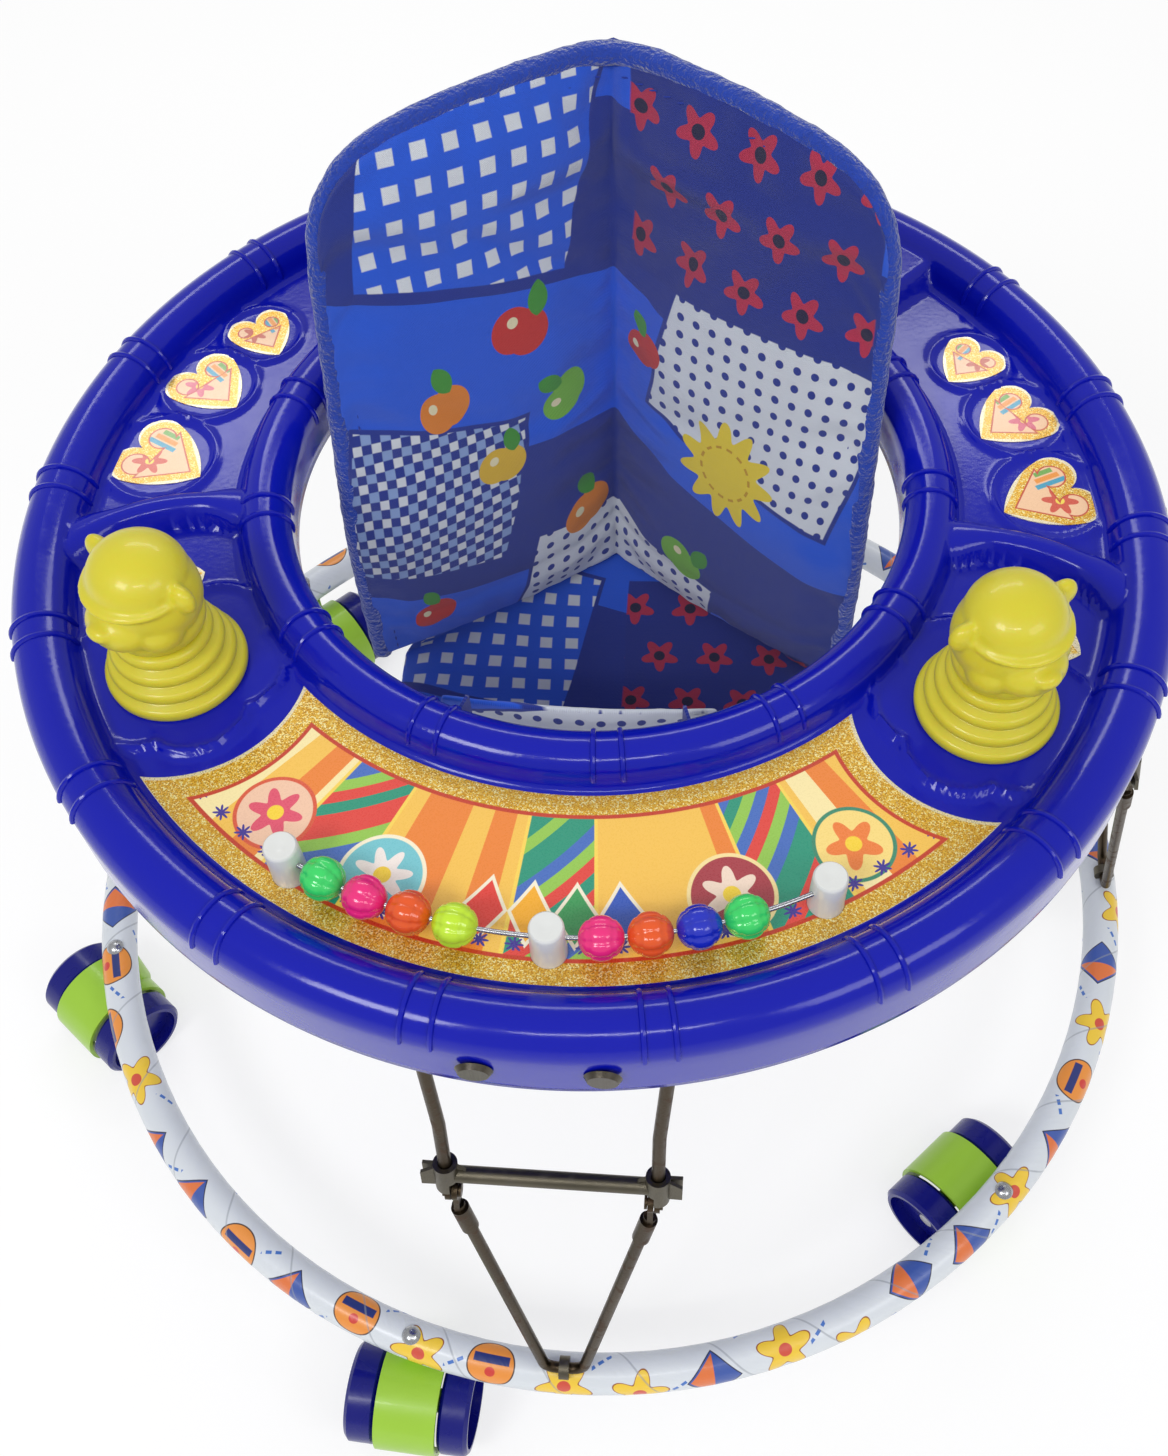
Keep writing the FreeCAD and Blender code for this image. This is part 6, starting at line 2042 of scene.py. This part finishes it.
# Studio
class Studio:
    """Plain pale floor, soft lamps and the camera at the photograph's place."""

    @staticmethod
    def camera() -> None:
        """The camera fitted to the photograph."""
        data = bpy.data.cameras.new("photo camera")
        data.sensor_fit = "VERTICAL"
        data.sensor_height = 36.0
        data.lens = 37.18
        data.shift_x, data.shift_y = -0.0312, -0.0023
        data.clip_start = 0.01
        eye = bpy.data.objects.new("photo camera", data)
        eye.location = (0.0501, -0.4343, 0.8816)
        eye.rotation_euler = (math.radians(33.14), math.radians(0.59), math.radians(3.87))
        bpy.context.scene.collection.objects.link(eye)
        bpy.context.scene.camera = eye

    @staticmethod
    def floor() -> None:
        """A large pale floor that stays white where the camera sees it unshaded."""
        mesh = bmesh.new()
        bmesh.ops.create_grid(mesh, x_segments=1, y_segments=1, size=8.0)
        data = bpy.data.meshes.new("studio floor")
        mesh.to_mesh(data)
        mesh.free()
        ground = bpy.data.objects.new("studio floor", data)
        ground.location.z = -0.0003
        bpy.context.scene.collection.objects.link(ground)
        made = bpy.data.materials.new("pale floor")
        made.use_nodes = True
        made.node_tree.nodes.clear()
        surface = Surface(made.node_tree)
        matt = surface.node("BsdfDiffuse")
        matt.inputs["Color"].default_value = linear((246, 246, 246))
        glow = surface.node("Emission")
        glow.inputs["Color"].default_value = (1.0, 1.0, 1.0, 1.0)
        glow.inputs["Strength"].default_value = 0.68
        path = surface.node("LightPath")
        seen = Term(made.node_tree, path.outputs["Is Camera Ray"])
        for ray in ("Is Glossy Ray", "Is Transmission Ray"):
            seen = seen.max(Term(made.node_tree, path.outputs[ray]))
        blend = surface.node("MixShader")
        both = surface.node("AddShader")
        half = surface.node("MixShader")
        half.inputs[0].default_value = 0.62
        surface.feed(both.inputs[0], half.outputs[0])
        made.node_tree.links.new(matt.outputs[0], half.inputs[1])
        made.node_tree.links.new(glow.outputs[0], both.inputs[1])
        surface.feed(blend.inputs[0], seen)
        made.node_tree.links.new(matt.outputs[0], blend.inputs[1])
        made.node_tree.links.new(both.outputs[0], blend.inputs[2])
        output = surface.node("OutputMaterial")
        made.node_tree.links.new(blend.outputs[0], output.inputs[0])
        data.materials.append(made)

    @staticmethod
    def lamps() -> None:
        """A key from the front left, a fill, strips in front and behind, and an even sky."""
        world = bpy.data.worlds.new("studio sky")
        world.use_nodes = True
        sky = world.node_tree.nodes["Background"]
        sky.inputs["Color"].default_value = (1.0, 1.0, 1.0, 1.0)
        sky.inputs["Strength"].default_value = 0.56
        bpy.context.scene.world = world
        for name, place, size, power in (("key", (-0.9, -1.3, 1.9), (0.7, 0.5), 14.0),
                                         ("fill", (1.3, -1.1, 1.6), (0.9, 0.6), 7.0),
                                         ("rear", (-0.2, 1.4, 1.7), (1.6, 0.25), 7.0),
                                         ("strip", (0.1, -1.0, 1.5), (0.6, 0.08), 2.5)):
            data = bpy.data.lights.new(name, "AREA")
            data.shape, data.size, data.size_y = "RECTANGLE", size[0], size[1]
            data.energy = power
            lamp = bpy.data.objects.new(name, data)
            lamp.location = place
            aim = Vector((0, 0, 0.3)) - Vector(place)
            lamp.rotation_euler = aim.to_track_quat("-Z", "Y").to_euler()
            bpy.context.scene.collection.objects.link(lamp)
        bpy.context.scene.view_settings.view_transform = "Standard"


# The walker's finishes
TRAY_BLUE = Plastic("tray blue plastic", (8, 20, 178), roughness=0.15, coat=0.15, marks=0.3, shine=0.28)
NAVY = Plastic("wheel navy plastic", (10, 16, 128), roughness=0.28, coat=0.12, marks=0.5, shine=0.3)
LIME = Plastic("housing lime plastic", (172, 222, 66), roughness=0.34, coat=0.2, marks=0.3)
WHITE = Plastic("post white plastic", (236, 238, 236), roughness=0.3, coat=0.3)
YELLOW = Plastic("toy yellow vinyl", (226, 214, 50), roughness=0.4, coat=0.25, marks=0.15,
                 variation=0.25, soft=0.15)
BEAD_FINISHES = {
    "green": Plastic("bead green plastic", (60, 226, 110), roughness=0.22, coat=0.5),
    "pink": Plastic("bead pink plastic", (250, 44, 132), roughness=0.22, coat=0.5),
    "orange": Plastic("bead orange plastic", (244, 92, 28), roughness=0.22, coat=0.5),
    "lime": Plastic("bead lime plastic", (206, 246, 52), roughness=0.22, coat=0.5),
    "blue": Plastic("bead blue plastic", (24, 44, 200), roughness=0.22, coat=0.5)}
WIRE = Metal("brown plated wire", (84, 72, 56), Grade.DRAWN_WIRE, roughness=0.36)
RIVET = Metal("rivet steel", (206, 208, 212), Grade.POLISHED, roughness=0.24)
DULL_RIVET = Metal("dull rivet steel", (98, 92, 82), Grade.POLISHED, roughness=0.3)
PRESSED = Metal("pressed bracket steel", (112, 106, 92), Grade.PRESSED, roughness=0.4)
BOARD = PlainCloth("seat board", (176, 150, 110), nap=0.0)
FLEECE = PlainCloth("fleece binding", (20, 74, 206), nap=1.0)
ROYAL_CLOTH = PlainCloth("royal blue cloth", (24, 60, 190), nap=0.15)
WEBBING = PlainCloth("royal webbing", (26, 54, 172), nap=0.1, count=4200.0)
THREAD = PlainCloth("sewing thread", (36, 66, 190), nap=0.3)


def dress_frame(frame: dict) -> None:
    """Gives each CAD node that stays its finish.
    """
    nodes = frame["nodes"]
    table: dict[str, Finish] = {
        "base_ring_tube": PRESSED, "ring_tape": PrintedTape(), "caster_pins": RIVET,
        "leg_lugs": PRESSED, "hinge_brackets": PRESSED, "bracket_rivets": DULL_RIVET,
        "front_label": FrontLabel(), "heart_labels": HeartLabel(), "toy_labels": ToyLabel(),
        "seat_board": BOARD}
    starts = {"caster_housing": LIME, "axle": RIVET, "caster_axle": RIVET, "caster_wheels": NAVY,
              "lower_wire": WIRE, "upper_wire": WIRE, "lock_bar": PRESSED}
    for name, piece in nodes.items():
        finish = table.get(name)
        if finish is None:
            finish = next((made for start, made in starts.items() if name.startswith(start)), None)
        if finish is not None:
            finish.dress(piece)
            LOG.info("%s: dressed as %s", name, finish.name)
        elif piece["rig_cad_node"] and not piece.hide_render:
            LOG.warning("%s has no finish", name)


def main() -> None:
    """Builds the studio and dresses the walker, part by part."""
    logging.basicConfig(level=logging.INFO, format="%(message)s")
    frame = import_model()
    Studio.camera()
    Studio.floor()
    Studio.lamps()
    dress_frame(frame)
    tray = Tray()
    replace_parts(tray.build(TRAY_BLUE), "tray_shell")
    RimBands(tray).build(TRAY_BLUE)
    rail = BeadRail()
    rail.build_posts(WHITE)
    rail.build_wires(RIVET)
    rail.build_beads()
    for index, side in ((1, -1), (2, 1)):
        toy = SqueezeToy(index, side)
        toy.build_foot(YELLOW)
        toy.build_head(YELLOW)
    form = BackForm()
    back = SeatBack(form)
    back.build_pad(PatchCloth())
    back.build_rear_cloth(ROYAL_CLOTH)
    back.build_binding(FLEECE)
    back.build_stitches(THREAD)
    SeatBase().build(PatchCloth(name="patchwork cotton base", shift=0.3))
    Straps().build(form, WEBBING, RIVET)


if __name__ == "__main__":
    main()
